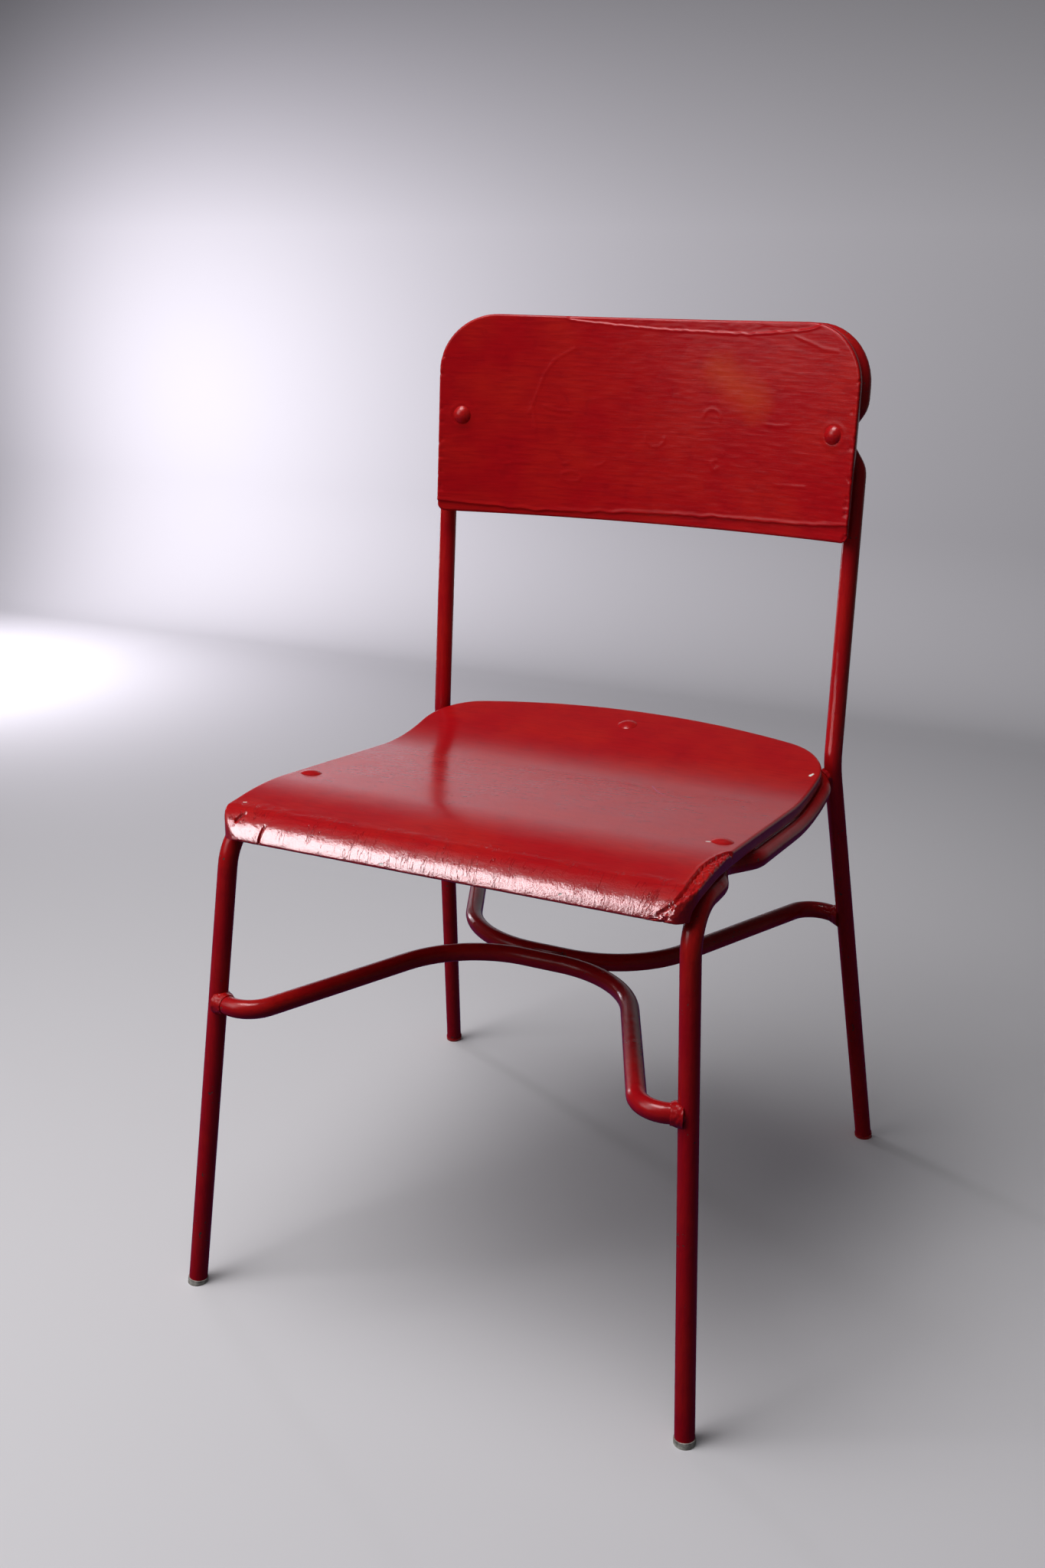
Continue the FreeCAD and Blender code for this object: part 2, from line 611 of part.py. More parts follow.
def corner_round(body, base, name, radius, chosen):
    """Round the edges of the base feature that the test picks."""
    names = [f"Edge{number}" for number, edge in enumerate(base.Shape.Edges, start=1) if chosen(edge)]
    if not names:
        raise RuntimeError("no edge found for " + name)
    rounded = body.newObject("PartDesign::Fillet", name)
    rounded.Base = (base, names)
    rounded.setExpression("Radius", radius)
    doc.recompute()
    return rounded


# ---------------------------------------------------------------- back panel

def build_back():
    radius = size("panel_radius")
    thickness = size("panel_thickness")
    half = size("panel_width") / 2
    centre = Vector(0, -PANEL_CENTRE, 0)
    body = doc.addObject("PartDesign::Body", "BackBody")
    plan = plane_sketch(body, "BackPlan", "XY_Plane")
    arcs = []
    for reach in (radius, radius + thickness):
        swing = math.asin(half / reach)
        circle = Part.Circle(centre, Vector(0, 0, 1), reach)
        arcs.append(
            plan.addGeometry(Part.ArcOfCircle(circle, math.pi / 2 - swing, math.pi / 2 + swing), False)
        )
    near_y = centre.y + math.sqrt(radius ** 2 - half ** 2)
    far_y = centre.y + math.sqrt((radius + thickness) ** 2 - half ** 2)
    ends = [
        plan.addGeometry(Part.LineSegment(Vector(x, near_y, 0), Vector(x, far_y, 0)), False)
        for x in (half, -half)
    ]
    for end, vertex in ((ends[0], 1), (ends[1], 2)):
        plan.addConstraint(Sketcher.Constraint("Coincident", arcs[0], vertex, end, 1))
        plan.addConstraint(Sketcher.Constraint("Coincident", arcs[1], vertex, end, 2))
        plan.addConstraint(Sketcher.Constraint("Vertical", end))
    plan.addConstraint(Sketcher.Constraint("Coincident", arcs[0], 3, arcs[1], 3))
    plan.addConstraint(Sketcher.Constraint("PointOnObject", arcs[0], 3, VERTICAL_AXIS))
    bind(plan, "Radius", (arcs[0],), radius, "hollow", "Sizes.panel_radius")
    bind(
        plan, "Radius", (arcs[1],), radius + thickness, "hollow_behind",
        "Sizes.panel_radius + Sizes.panel_thickness",
    )
    pin_y(
        plan, arcs[0], 3, centre.y, "hollow_centre",
        "-sqrt((Sizes.panel_radius + Sizes.panel_thickness + Sizes.wood_gap"
        " + Sizes.tube_diameter / 2) ^ 2 - Sizes.back_dimple_x ^ 2)",
    )
    pin_x(plan, ends[0], 1, half, "right_end", "Sizes.panel_width / 2")
    pin_x(plan, ends[1], 1, -half, "left_end", "-Sizes.panel_width / 2")
    pad = body.newObject("PartDesign::Pad", "BackBlank")
    pad.Profile = plan
    pad.setExpression("Length", "Sizes.panel_tall")
    doc.recompute()
    corners = [
        (
            (side * half, height),
            (f"{side} * Sizes.panel_width / 2", height_text),
            (side, upward),
            size(radius_name),
            "Sizes." + radius_name,
        )
        for height, height_text, upward, radius_name in (
            (size("panel_tall"), "Sizes.panel_tall", 1, "panel_top_radius"),
            (0, "0", -1, "panel_bottom_radius"),
        )
        for _, side in SIDES
    ]
    base = round_corners(body, pad, "BackCorners", "XZ_Plane", corners)
    body.Tip = base
    body.Placement = BACK.multiply(Placement(Vector(0, 0, size("panel_low")), Rotation()))
    holes = [
        bore_tool("BackHole" + name, place, TOOL_MARGIN, size("panel_thickness") + 2 * TOOL_MARGIN)
        for name, place in BACK_RIVETS
    ]
    group = add("Part::Compound", "BackHoles", Links=holes)
    named(add("Part::Cut", "BackPanel", Base=body, Tool=group), "back_panel")


# ---------------------------------------------------------------- rivet places

SEAT_RIVETS = [
    (f"front_{name}", seat_point(side, size("seat_rivet_y"), front_slope, -size("seat_slope"),
                                 size("seat_rivet_x")))
    for name, side in SIDES
]
SEAT_RIVETS.append(
    ("rear", seat_point(1, size("rear_rivet_y"), rear_slope, size("seat_rise"), 0))
)


def back_rivet(side):
    """Placement on the back panel's front face, its Z square to the wood and pointing forward."""
    reach = size("panel_radius") + PANEL_TO_TUBE
    swing = math.degrees(math.asin(size("back_dimple_x") / reach))
    face = size("panel_radius") / reach
    local = Vector(side * size("back_dimple_x") * face, PANEL_CENTRE * (face - 1), size("back_rivet_up"))
    turn = Rotation(Vector(0, 0, 1), -side * swing).multiply(Rotation(Vector(1, 0, 0), 90))
    return BACK.multiply(Placement(local, turn))


BACK_RIVETS = [(name, back_rivet(side)) for name, side in SIDES]


# ---------------------------------------------------------------- tubes

def both_sides(right_half):
    """A route's corners from the left end to the right end, from its right half."""
    return [mirrored(point) for point in right_half] + right_half[::-1]


def both_radii(right_half, middle=()):
    return list(right_half) + list(middle) + list(right_half)[::-1]


def rail_point(x, y):
    """A point of the seat rail's axis under the front slope, no higher than the knee."""
    depth = SEAT_TO_TUBE / math.cos(math.radians(size("seat_slope")))
    return Vector(x, y, min(front_slope(y) - depth, RAIL_AT_KNEE))


def build_seat_frame():
    """Front legs, seat rails and the rear bow under the seat, one tube."""
    foot, along = FRONT_LEG
    start = foot + along * (size("glide_flange") + size("metal_gap"))
    slope = size("seat_slope")
    dimple_y, _ = below(size("seat_rivet_y"), 0, -slope, SEAT_TO_TUBE)
    rear_y, rear_z = below(
        size("rear_rivet_y"), rear_slope(size("rear_rivet_y")), size("seat_rise"), SEAT_TO_TUBE
    )
    half_flat = size("dimple_flat") / 2
    rear_drop = rear_z - tangent("seat_rise") * rear_y
    front_drop = rail_point(0, 0).z
    dish_y = (front_drop - rear_drop) / (tangent("seat_rise") + tangent("seat_slope"))
    right = [
        start,
        FRONT_KNEE,
        rail_point(size("front_knee_x") + size("knee_flare"), dimple_y - size("dimple_front")),
        rail_point(size("seat_rivet_x"), dimple_y - half_flat),
        rail_point(size("seat_rivet_x"), dimple_y + half_flat),
        rail_point(size("rail_x"), dimple_y + size("dimple_back")),
        rail_point(size("rail_x"), dish_y),
        Vector(size("rail_x"), rear_y, rear_z),
    ]
    bends = [
        size("front_knee_radius"),
        size("dimple_radius"),
        size("dimple_radius"),
        size("dimple_radius"),
        size("dimple_radius"),
        size("dish_radius") + SEAT_TO_TUBE,
        rear_bow_radius(rear_y, rear_z),
    ]
    holes = [
        bore_tool("FrameHole" + name, place, -size("seat_thickness"), size("tube_diameter") + TOOL_MARGIN)
        for name, place in SEAT_RIVETS
    ]
    bent_tube("seat_frame_tube", both_sides(right), both_radii(bends), holes)


def rear_bow_radius(rear_y, rear_z):
    """The bend at the back of a rail that just clears the rear leg."""
    leg = at_height(REAR_LEG, rear_z - size("rail_contact_drop"))
    past_x = leg.x - size("rail_x")
    past_y = leg.y - rear_y
    apart = 2 * TUBE_RADIUS + size("rail_to_leg")
    linear = past_x + past_y - apart
    constant = past_x ** 2 + past_y ** 2 - apart ** 2
    return -linear + math.sqrt(linear ** 2 - constant)


def build_back_frame():
    """Rear legs, uprights and the hoop behind the back panel, one tube."""
    foot, along = REAR_LEG
    start = foot + along * (size("glide_flange") + size("metal_gap"))
    rivet_up = size("back_rivet_up")
    half_flat = size("back_dimple_flat") / 2
    reach = size("panel_radius") + PANEL_TO_TUBE
    hoop_x = size("hoop_x")
    to_corner = math.hypot(hoop_x, PANEL_CENTRE)
    turn = math.atan2(hoop_x, PANEL_CENTRE) - math.acos(reach / to_corner)
    bow_x = reach * math.tan(turn / 2)
    right = [
        start,
        WAIST,
        on_back(size("upright_x"), 0, rivet_up - size("back_dimple_below")),
        on_back(size("back_dimple_x"), 0, rivet_up - half_flat),
        on_back(size("back_dimple_x"), 0, rivet_up + half_flat),
        on_back(hoop_x, 0, rivet_up + size("back_dimple_above")),
        on_back(hoop_x, 0, size("hoop_up")),
        on_back(bow_x, reach - PANEL_CENTRE, size("hoop_up")),
    ]
    bends = [
        size("waist_radius"),
        size("back_dimple_radius"),
        size("back_dimple_radius"),
        size("back_dimple_radius"),
        size("back_dimple_radius"),
        size("hoop_corner_radius"),
        size("hoop_ease") * reach,
    ]
    holes = [
        bore_tool("HoopHole" + name, place, -size("panel_thickness"), size("tube_diameter") + TOOL_MARGIN)
        for name, place in BACK_RIVETS
    ]
    bent_tube("back_frame_tube", both_sides(right), both_radii(bends), holes)


def stretcher_points(leg, hook_y, meet_y):
    """Right half of a bow: leg, hook beside the leg, corner of the middle bend."""
    height = size("stretcher_height")
    arm = tangent("bow_lean") * abs(hook_y - meet_y)
    return [
        at_height(leg, height),
        Vector(size("bow_corner_x") + arm, hook_y, height),
        Vector(size("bow_corner_x"), meet_y, height),
    ]


TOUCH = TUBE_RADIUS + size("metal_gap") / 2
STRETCHERS = {
    "front": (FRONT_LEG, stretcher_points(FRONT_LEG, size("front_hook_y"), size("stretcher_meet") - TOUCH)),
    "rear": (REAR_LEG, stretcher_points(REAR_LEG, size("rear_hook_y"), size("stretcher_meet") + TOUCH)),
}
CLEAR_RADIUS = "Sizes.tube_diameter / 2 + Sizes.metal_gap"
LEG_WAY = 80  # length of the cylinder that clears the way of a leg, longer than any bead there
STUB_WAY = 60  # the same for a stretcher's end


def leg_tools(name, leg, side):
    """Cylinder around a leg, where stretchers and beads stop."""
    centre = at_height(leg, size("stretcher_height"))
    along = Vector(leg[1])
    if side < 0:
        centre = mirrored(centre)
        along = mirrored(along)
    return rod_tool(name, centre, along, CLEAR_RADIUS, LEG_WAY)


def build_stretcher(end):
    leg, right = STRETCHERS[end]
    node = end + "_stretcher"
    tools = [leg_tools(f"{node}_leg_{name}", leg, side) for name, side in SIDES]
    bends = (size("hook_radius"), size("bow_radius"))
    bent_tube(node, both_sides(right), both_radii(bends), tools)


def build_stretcher_weld(end, name, side):
    """Bead around the end of a stretcher, against its leg."""
    leg, right = STRETCHERS[end]
    axis_point, hook = right[0], right[1]
    if side < 0:
        axis_point, hook = mirrored(axis_point), mirrored(hook)
    away = (hook - axis_point).normalize()
    node = f"weld_{end}_{name}"
    cone = add(
        "Part::Cone", node + "_bead",
        Radius1="Sizes.tube_diameter / 2 + Sizes.weld_leg",
        Radius2="Sizes.tube_diameter / 2 + Sizes.weld_toe",
        Height="Sizes.tube_diameter / 4 + Sizes.weld_run",
    )
    cone.Placement = Placement(axis_point + away * (TUBE_RADIUS / 2), facing(away))
    tube_way = rod_tool(node + "_tube_way", axis_point, away, CLEAR_RADIUS, STUB_WAY)
    ring = add("Part::Cut", node + "_ring", Base=cone, Tool=tube_way)
    leg_way = leg_tools(node + "_leg_way", leg, side)
    named(add("Part::Cut", node + "_piece", Base=ring, Tool=leg_way), node)


def build_middle_weld():
    """Two beads, above and below, in the grooves between the stretchers where they touch."""
    bars = []
    height = size("stretcher_height")
    rise = size("middle_weld_rise")
    sink = size("middle_weld_sink")
    for number, low in enumerate((height + sink, height - rise)):
        bar = add("Part::Box", f"MiddleWeldBar{number}", Length="Sizes.middle_weld_length",
                  Width="Sizes.middle_weld_width",
                  Height="Sizes.middle_weld_rise - Sizes.middle_weld_sink")
        bar.Placement = Placement(
            Vector(-size("middle_weld_length") / 2,
                   size("stretcher_meet") - size("middle_weld_width") / 2, low),
            Rotation(),
        )
        bars.append(bar)
    ways = [
        rod_tool(f"MiddleWay{number}", Vector(0, size("stretcher_meet") + offset, height),
                 Vector(1, 0, 0), CLEAR_RADIUS, size("middle_weld_length") + 2 * TOOL_MARGIN)
        for number, offset in enumerate((-TOUCH, TOUCH))
    ]
    beads = add("Part::Compound", "MiddleBars", Links=bars)
    tools = add("Part::MultiFuse", "MiddleWays", Shapes=ways)
    named(add("Part::Cut", "MiddleWeld", Base=beads, Tool=tools), "weld_stretcher_middle")


def rail_touch(leg, rail):
    """Nearest points of the rear leg's axis and the rail's, on the +X side, leg first."""
    _, rear_z = below(
        size("rear_rivet_y"), rear_slope(size("rear_rivet_y")), size("seat_rise"), SEAT_TO_TUBE
    )
    right_leg = [edge for edge in leg.Edges if edge.BoundBox.XMin > 0 and edge.BoundBox.ZMin < rear_z]
    right_rail = [
        edge for edge in rail.Edges
        if edge.BoundBox.XMin > 0 and edge.BoundBox.YMax > size("dish_place")
    ]
    _, pairs, _ = Part.Compound(right_leg).distToShape(Part.Compound(right_rail))
    return pairs[0]


def way_past(name, route, middle):
    """A solid that clears the way of a tube beside a bead, along the nearest stretch of its route."""
    reach = size("rail_weld_radius") + size("tube_diameter")
    near = route.common(Part.makeSphere(reach, middle)).Edges
    run = doc.addObject("Part::Feature", name + "_run")
    run.Shape = Part.Wire(Part.sortEdges(near)[0])
    return swept_round(name, run, CLEAR_RADIUS)


def build_rail_weld(name, side):
    """Bead between a rail's rear bend and the rear leg, open in the middle where the tubes touch."""
    rail = doc.getObject("seat_frame_tube_route").Shape
    leg = doc.getObject("back_frame_tube_route").Shape
    on_leg, on_rail = rail_touch(leg, rail)
    across = (on_rail - on_leg).normalize()
    middle = (on_leg + on_rail) * 0.5
    if side < 0:
        across, middle = mirrored(across), mirrored(middle)
    node = "weld_rail_" + name
    ball = add("Part::Sphere", node + "_ball", Radius="Sizes.rail_weld_radius")
    ball.Placement = Placement(middle, facing(across))
    eye_length = 2 * size("rail_weld_radius") + 2 * TOOL_MARGIN
    eye = rod_tool(node + "_eye", middle, across, "Sizes.rail_weld_eye", eye_length)
    leg_way = way_past(node + "_leg_way", leg, middle)
    rail_way = way_past(node + "_rail_way", rail, middle)
    after_leg = add("Part::Cut", node + "_after_leg", Base=ball, Tool=leg_way)
    after_rail = add("Part::Cut", node + "_after_rail", Base=after_leg, Tool=rail_way)
    named(add("Part::Cut", node + "_piece", Base=after_rail, Tool=eye), node)


# ---------------------------------------------------------------- rivets, washers, glides

def build_rivet(node, place, prefix, wood):
    """Domed rivet through wood and tube, closed over its washer. Its Z = 0 is the wood's face."""
    head_radius = size(prefix + "_head_diameter") / 2
    head_height = size(prefix + "_head_height")
    shank = size("rivet_shank") / 2
    tail_radius = size("tail_diameter") / 2
    grip = size(wood) + size("wood_gap") + size("tube_diameter") + size("washer_thickness")
    grip += size("washer_gap") + size("metal_gap")
    grip_text = (
        f"-(Sizes.{wood} + Sizes.wood_gap + Sizes.tube_diameter"
        " + Sizes.washer_thickness + Sizes.washer_gap + Sizes.metal_gap)"
    )
    head_gap = size("head_gap")
    points = [
        (0, head_gap + head_height),
        (head_radius, head_gap),
        (shank, head_gap),
        (shank, -grip),
        (tail_radius, -grip),
        (0, -grip - size("tail_height")),
    ]
    bindings = [
        ("0", f"Sizes.{prefix}_head_height + Sizes.head_gap"),
        (f"Sizes.{prefix}_head_diameter / 2", "Sizes.head_gap"),
        ("Sizes.rivet_shank / 2", "Sizes.head_gap"),
        ("Sizes.rivet_shank / 2", grip_text),
        ("Sizes.tail_diameter / 2", grip_text),
        ("0", grip_text + " - Sizes.tail_height"),
    ]
    body = turned_piece(node, points, bindings, domes=(0, 4))
    body.Placement = place
    named(body, node)


def turned_piece(node, points, bindings, domes=()):
    """A revolved body from its half outline in the XZ plane; domes are edges centred on the axis."""
    body = doc.addObject("PartDesign::Body", node + "_body")
    sketch = plane_sketch(body, node + "_half", "XZ_Plane")
    numbers = []
    starts = []
    ends = []
    for place, (start, end) in enumerate(zip(points, points[1:] + points[:1])):
        first = Vector(start[0], start[1], 0)
        last = Vector(end[0], end[1], 0)
        if place in domes:
            arc = crown(first, last)
            numbers.append(sketch.addGeometry(arc, False))
            forward = arc.StartPoint.distanceToPoint(first) < SAME_PLACE
            starts.append(1 if forward else 2)
            ends.append(2 if forward else 1)
        else:
            numbers.append(sketch.addGeometry(Part.LineSegment(first, last), False))
            starts.append(1)
            ends.append(2)
    for place, number in enumerate(numbers):
        after = (place + 1) % len(numbers)
        sketch.addConstraint(
            Sketcher.Constraint("Coincident", number, ends[place], numbers[after], starts[after])
        )
        x_text, y_text = bindings[place]
        if x_text == "0":
            sketch.addConstraint(
                Sketcher.Constraint("PointOnObject", number, starts[place], VERTICAL_AXIS)
            )
        else:
            pin_x(sketch, number, starts[place], points[place][0], f"across{place}", x_text)
        pin_y(sketch, number, starts[place], points[place][1], f"along{place}", y_text)
        if place in domes:
            sketch.addConstraint(Sketcher.Constraint("PointOnObject", number, 3, VERTICAL_AXIS))
    turned = body.newObject("PartDesign::Revolution", node + "_turned")
    turned.Profile = sketch
    turned.ReferenceAxis = (sketch, ["V_Axis"])
    turned.Angle = 360
    body.Tip = turned
    return body


def build_washer(node, place, wood):
    """Flat washer between tube and closed rivet end."""
    depth = size(wood) + size("wood_gap") + size("tube_diameter") + size("washer_gap")
    ring = add("Part::Cylinder", node + "_disc", Radius="Sizes.washer_diameter / 2",
               Height="Sizes.washer_thickness")
    ring.Placement = place.multiply(Placement(Vector(0, 0, -depth - size("washer_thickness")), Rotation()))
    length = size("washer_thickness") + 2 * TOOL_MARGIN
    hole = bore_tool(node + "_hole", place, TOOL_MARGIN - depth, length)
    named(add("Part::Cut", node + "_ring", Base=ring, Tool=hole), node)


GLIDE_BLANK = 8  # how far below the foot a flange's blank runs before the floor cuts it
FLOOR_SIDE = 80  # side of the block that cuts a flange level with the floor
FLOOR_DEPTH = 30  # and its depth


def build_glide(node, leg, side):
    """Plug of a foot: a stem in the tube and a flange worn level with the floor."""
    foot, along = leg
    if side < 0:
        foot, along = mirrored(foot), mirrored(along)
    stem = BORE_RADIUS - size("glide_play") / 2
    top = size("glide_flange") + size("glide_stem")
    stem_text = "Sizes.tube_diameter / 2 - Sizes.tube_wall - Sizes.glide_play / 2"
    top_text = "Sizes.glide_flange + Sizes.glide_stem"
    points = [
        (0, top),
        (stem - size("glide_taper_in"), top),
        (stem, top - size("glide_taper_up")),
        (stem, size("glide_flange")),
        (size("glide_diameter") / 2, size("glide_flange")),
        (size("glide_diameter") / 2, -GLIDE_BLANK),
        (0, -GLIDE_BLANK),
    ]
    bindings = [
        ("0", top_text),
        (stem_text + " - Sizes.glide_taper_in", top_text),
        (stem_text, top_text + " - Sizes.glide_taper_up"),
        (stem_text, "Sizes.glide_flange"),
        ("Sizes.glide_diameter / 2", "Sizes.glide_flange"),
        ("Sizes.glide_diameter / 2", f"-{GLIDE_BLANK}"),
        ("0", f"-{GLIDE_BLANK}"),
    ]
    body = turned_piece(node, points, bindings)
    body.Placement = Placement(foot, facing(along))
    floor = add("Part::Box", node + "_floor", Length=FLOOR_SIDE, Width=FLOOR_SIDE, Height=FLOOR_DEPTH)
    floor.Placement = Placement(foot - Vector(FLOOR_SIDE / 2, FLOOR_SIDE / 2, FLOOR_DEPTH), Rotation())
    named(add("Part::Cut", node + "_worn", Base=body, Tool=floor), node)


# ---------------------------------------------------------------- assembly

build_seat()
build_back()
build_seat_frame()
build_back_frame()
doc.recompute()
for frame_end in ("front", "rear"):
    build_stretcher(frame_end)
    for side_name, side_sign in SIDES:
        build_stretcher_weld(frame_end, side_name, side_sign)
        build_glide(f"glide_{frame_end}_{side_name}", STRETCHERS[frame_end][0], side_sign)
build_middle_weld()
for side_name, side_sign in SIDES:
    build_rail_weld(side_name, side_sign)
for rivet_name, rivet_place in SEAT_RIVETS:
    build_rivet("seat_rivet_" + rivet_name, rivet_place, "seat", "seat_thickness")
    build_washer("seat_washer_" + rivet_name, rivet_place, "seat_thickness")
for rivet_name, rivet_place in BACK_RIVETS:
    build_rivet("back_rivet_" + rivet_name, rivet_place, "back", "panel_thickness")
    build_washer("back_washer_" + rivet_name, rivet_place, "panel_thickness")
doc.recompute()

for item in doc.Objects:
    if {"Invalid", "Error"} & set(item.State):
        raise RuntimeError(f"{item.Label} failed: {item.State}")
for piece in NODES:
    if piece.Shape.isNull() or not piece.Shape.isValid():
        raise RuntimeError(piece.Label + " has no sound shape")

os.makedirs("parts", exist_ok=True)
for piece in NODES:
    piece.Shape.exportStep(os.path.join("parts", piece.Label + ".step"))
    print(piece.Label, len(piece.Shape.Solids), round(piece.Shape.Volume, 1))
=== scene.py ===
import bmesh
import bpy
import math
from mathutils import Matrix, Vector, noise


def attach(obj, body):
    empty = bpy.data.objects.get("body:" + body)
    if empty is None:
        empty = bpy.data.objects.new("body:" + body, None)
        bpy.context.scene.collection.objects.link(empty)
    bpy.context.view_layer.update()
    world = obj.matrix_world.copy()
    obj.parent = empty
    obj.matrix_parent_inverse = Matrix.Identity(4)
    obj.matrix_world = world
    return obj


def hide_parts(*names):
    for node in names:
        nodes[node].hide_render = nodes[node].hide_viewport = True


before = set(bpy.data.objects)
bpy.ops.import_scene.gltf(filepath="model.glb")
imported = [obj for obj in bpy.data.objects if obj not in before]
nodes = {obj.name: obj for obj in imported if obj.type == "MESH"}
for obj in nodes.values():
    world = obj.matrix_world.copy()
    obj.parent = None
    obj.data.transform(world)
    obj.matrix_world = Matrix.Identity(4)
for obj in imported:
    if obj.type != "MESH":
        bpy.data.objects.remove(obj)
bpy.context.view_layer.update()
MM = 0.001

# ---- Studio -------------------------------------------------------------------------------
# Pale paper that runs from the floor up a wall, with shade painted into its colour from about a metre up,
# a window high on the left in front of the chair, a lamp above it, and a dim room all round. None of it is
# the chair.

FLOOR_HALF = 4.0
WALL_Y = 2.3
WALL_HEIGHT = 3.2
WALL_SWEEP = 0.35
SWEEP_STEPS = 12
PAPER = (0.7, 0.69, 0.72)
PAPER_SHADED_ABOVE = (0.15, 0.15, 0.16)
PAPER_SHADE_FROM = 1000.0
PAPER_SHADE_FULL_AT = 1900.0


class Wire:
    """A shader socket that can stand in a sum; each operator adds its own Math node."""

    def __init__(self, finish, socket):
        self.finish = finish
        self.socket = socket

    def joined(self, operation, first, second=0.0):
        return self.finish.node("ShaderNodeMath", {"operation": operation}, {0: first, 1: second})

    def __add__(self, other):
        return self.joined("ADD", self, other)

    def __radd__(self, other):
        return self.joined("ADD", other, self)

    def __sub__(self, other):
        return self.joined("SUBTRACT", self, other)

    def __rsub__(self, other):
        return self.joined("SUBTRACT", other, self)

    def __mul__(self, other):
        return self.joined("MULTIPLY", self, other)

    def __rmul__(self, other):
        return self.joined("MULTIPLY", other, self)

    def __abs__(self):
        return self.joined("ABSOLUTE", self)


class Finish:
    """One material: a Principled shader, and a method that adds any other node."""

    def __init__(self, name):
        self.material = bpy.data.materials.new(name)
        self.material.use_nodes = True
        self.tree = self.material.node_tree
        self.tree.nodes.clear()
        output = self.tree.nodes.new("ShaderNodeOutputMaterial")
        self.shader = self.tree.nodes.new("ShaderNodeBsdfPrincipled")
        self.tree.links.new(self.shader.outputs[0], output.inputs["Surface"])

    def node(self, kind, settings, inputs, output=0):
        made = self.tree.nodes.new(kind)
        for key, value in settings.items():
            setattr(made, key, value)
        for key, value in inputs.items():
            self.feed(made.inputs[key], value)
        return Wire(self, made.outputs[output])

    def feed(self, socket, value):
        if isinstance(value, Wire):
            self.tree.links.new(value.socket, socket)
        else:
            socket.default_value = value

    def surface(self, **inputs):
        for name, value in inputs.items():
            self.feed(self.shader.inputs[name.replace("_", " ")], value)

    def place(self, stretch=(1.0, 1.0, 1.0), shift=(0.0, 0.0, 0.0)):
        """Object coordinates in millimetres, stretched."""
        here = self.node("ShaderNodeTexCoord", {}, {}, 3)
        scale = tuple(1 / MM / each for each in stretch)
        return self.node("ShaderNodeMapping", {}, {"Vector": here, "Scale": scale, "Location": shift})

    def noise(self, place, size, detail=3.0, roughness=0.55, distortion=0.0):
        """Noise from 0 to 1 whose lumps are about size millimetres across."""
        return self.node(
            "ShaderNodeTexNoise", {},
            {"Vector": place, "Scale": 1 / size, "Detail": detail, "Roughness": roughness,
             "Distortion": distortion},
        )

    def ramp(self, value, low, high):
        """0 below low, 1 above high, straight between."""
        return self.node(
            "ShaderNodeMapRange", {"clamp": True}, {"Value": value, "From Min": low, "From Max": high}
        )

    def mix(self, share, low, high):
        """A colour from low to high."""
        return self.node(
            "ShaderNodeMix", {"data_type": "RGBA"},
            {0: share, 6: low if isinstance(low, Wire) else (*low, 1.0),
             7: high if isinstance(high, Wire) else (*high, 1.0)}, 2,
        )

    def drawn(self):
        """Millimetres across and along the flat blank that the piece was cut from."""
        return self.node("ShaderNodeUVMap", {"uv_map": "blank"}, {})

    def near(self, place, points):
        """Distance to a drawn line of straight runs."""
        nearest = None
        for start, end in zip(points, points[1:]):
            run = Vector((*end, 0.0)) - Vector((*start, 0.0))
            reach = self.node(
                "ShaderNodeVectorMath", {"operation": "SUBTRACT"}, {0: place, 1: (*start, 0.0)}
            )
            share = self.node(
                "ShaderNodeVectorMath", {"operation": "DOT_PRODUCT"},
                {0: reach, 1: tuple(run / run.length_squared)}, 1,
            )
            foot = self.node(
                "ShaderNodeVectorMath", {"operation": "SCALE"},
                {0: tuple(run), "Scale": self.ramp(share, 0.0, 1.0)},
            )
            gap = self.node("ShaderNodeVectorMath", {"operation": "DISTANCE"}, {0: reach, 1: foot}, 1)
            nearest = gap if nearest is None else nearest.joined("MINIMUM", nearest, gap)
        return nearest

    def relief(self, height):
        """A height in millimetres as a bumped normal."""
        bump = self.node("ShaderNodeBump", {}, {"Height": height, "Strength": 1.0, "Distance": MM})
        self.surface(Normal=bump)


def piece_from(bm, name, finish):
    """The finished mesh as an object of its own, smooth shaded, with its material."""
    mesh = bpy.data.meshes.new(name)
    bm.to_mesh(mesh)
    bm.free()
    mesh.shade_smooth()
    mesh.materials.append(finish.material)
    made = bpy.data.objects.new(name, mesh)
    bpy.context.scene.collection.objects.link(made)
    return made


studio = Finish("studio_paper")
rise = studio.node("ShaderNodeSeparateXYZ", {}, {0: studio.place()}, 2)
# painted shade: the paper's colour darkens from 1 m to 1.9 m up, for less light high on the wall
painted_shade_above = studio.ramp(rise, PAPER_SHADE_FROM, PAPER_SHADE_FULL_AT)
studio.surface(Base_Color=studio.mix(painted_shade_above, PAPER, PAPER_SHADED_ABOVE), Roughness=0.85)
bm = bmesh.new()
profile = [(-FLOOR_HALF, 0.0), (WALL_Y - WALL_SWEEP, 0.0)]
for step in range(1, SWEEP_STEPS + 1):
    turn = math.radians(90 * step / SWEEP_STEPS)
    profile.append((WALL_Y - WALL_SWEEP * (1 - math.sin(turn)), WALL_SWEEP * (1 - math.cos(turn))))
profile.append((WALL_Y, WALL_HEIGHT))
row = [bm.verts.new((-FLOOR_HALF, y, z)) for y, z in profile]
edges = [bm.edges.new(pair) for pair in zip(row, row[1:])]
swept = bmesh.ops.extrude_edge_only(bm, edges=edges)["geom"]
swept_verts = [item for item in swept if isinstance(item, bmesh.types.BMVert)]
bmesh.ops.translate(bm, vec=(2 * FLOOR_HALF, 0, 0), verts=swept_verts)
bmesh.ops.recalc_face_normals(bm, faces=bm.faces[:])
paper = piece_from(bm, "studio_floor", studio)
paper.visible_diffuse = False
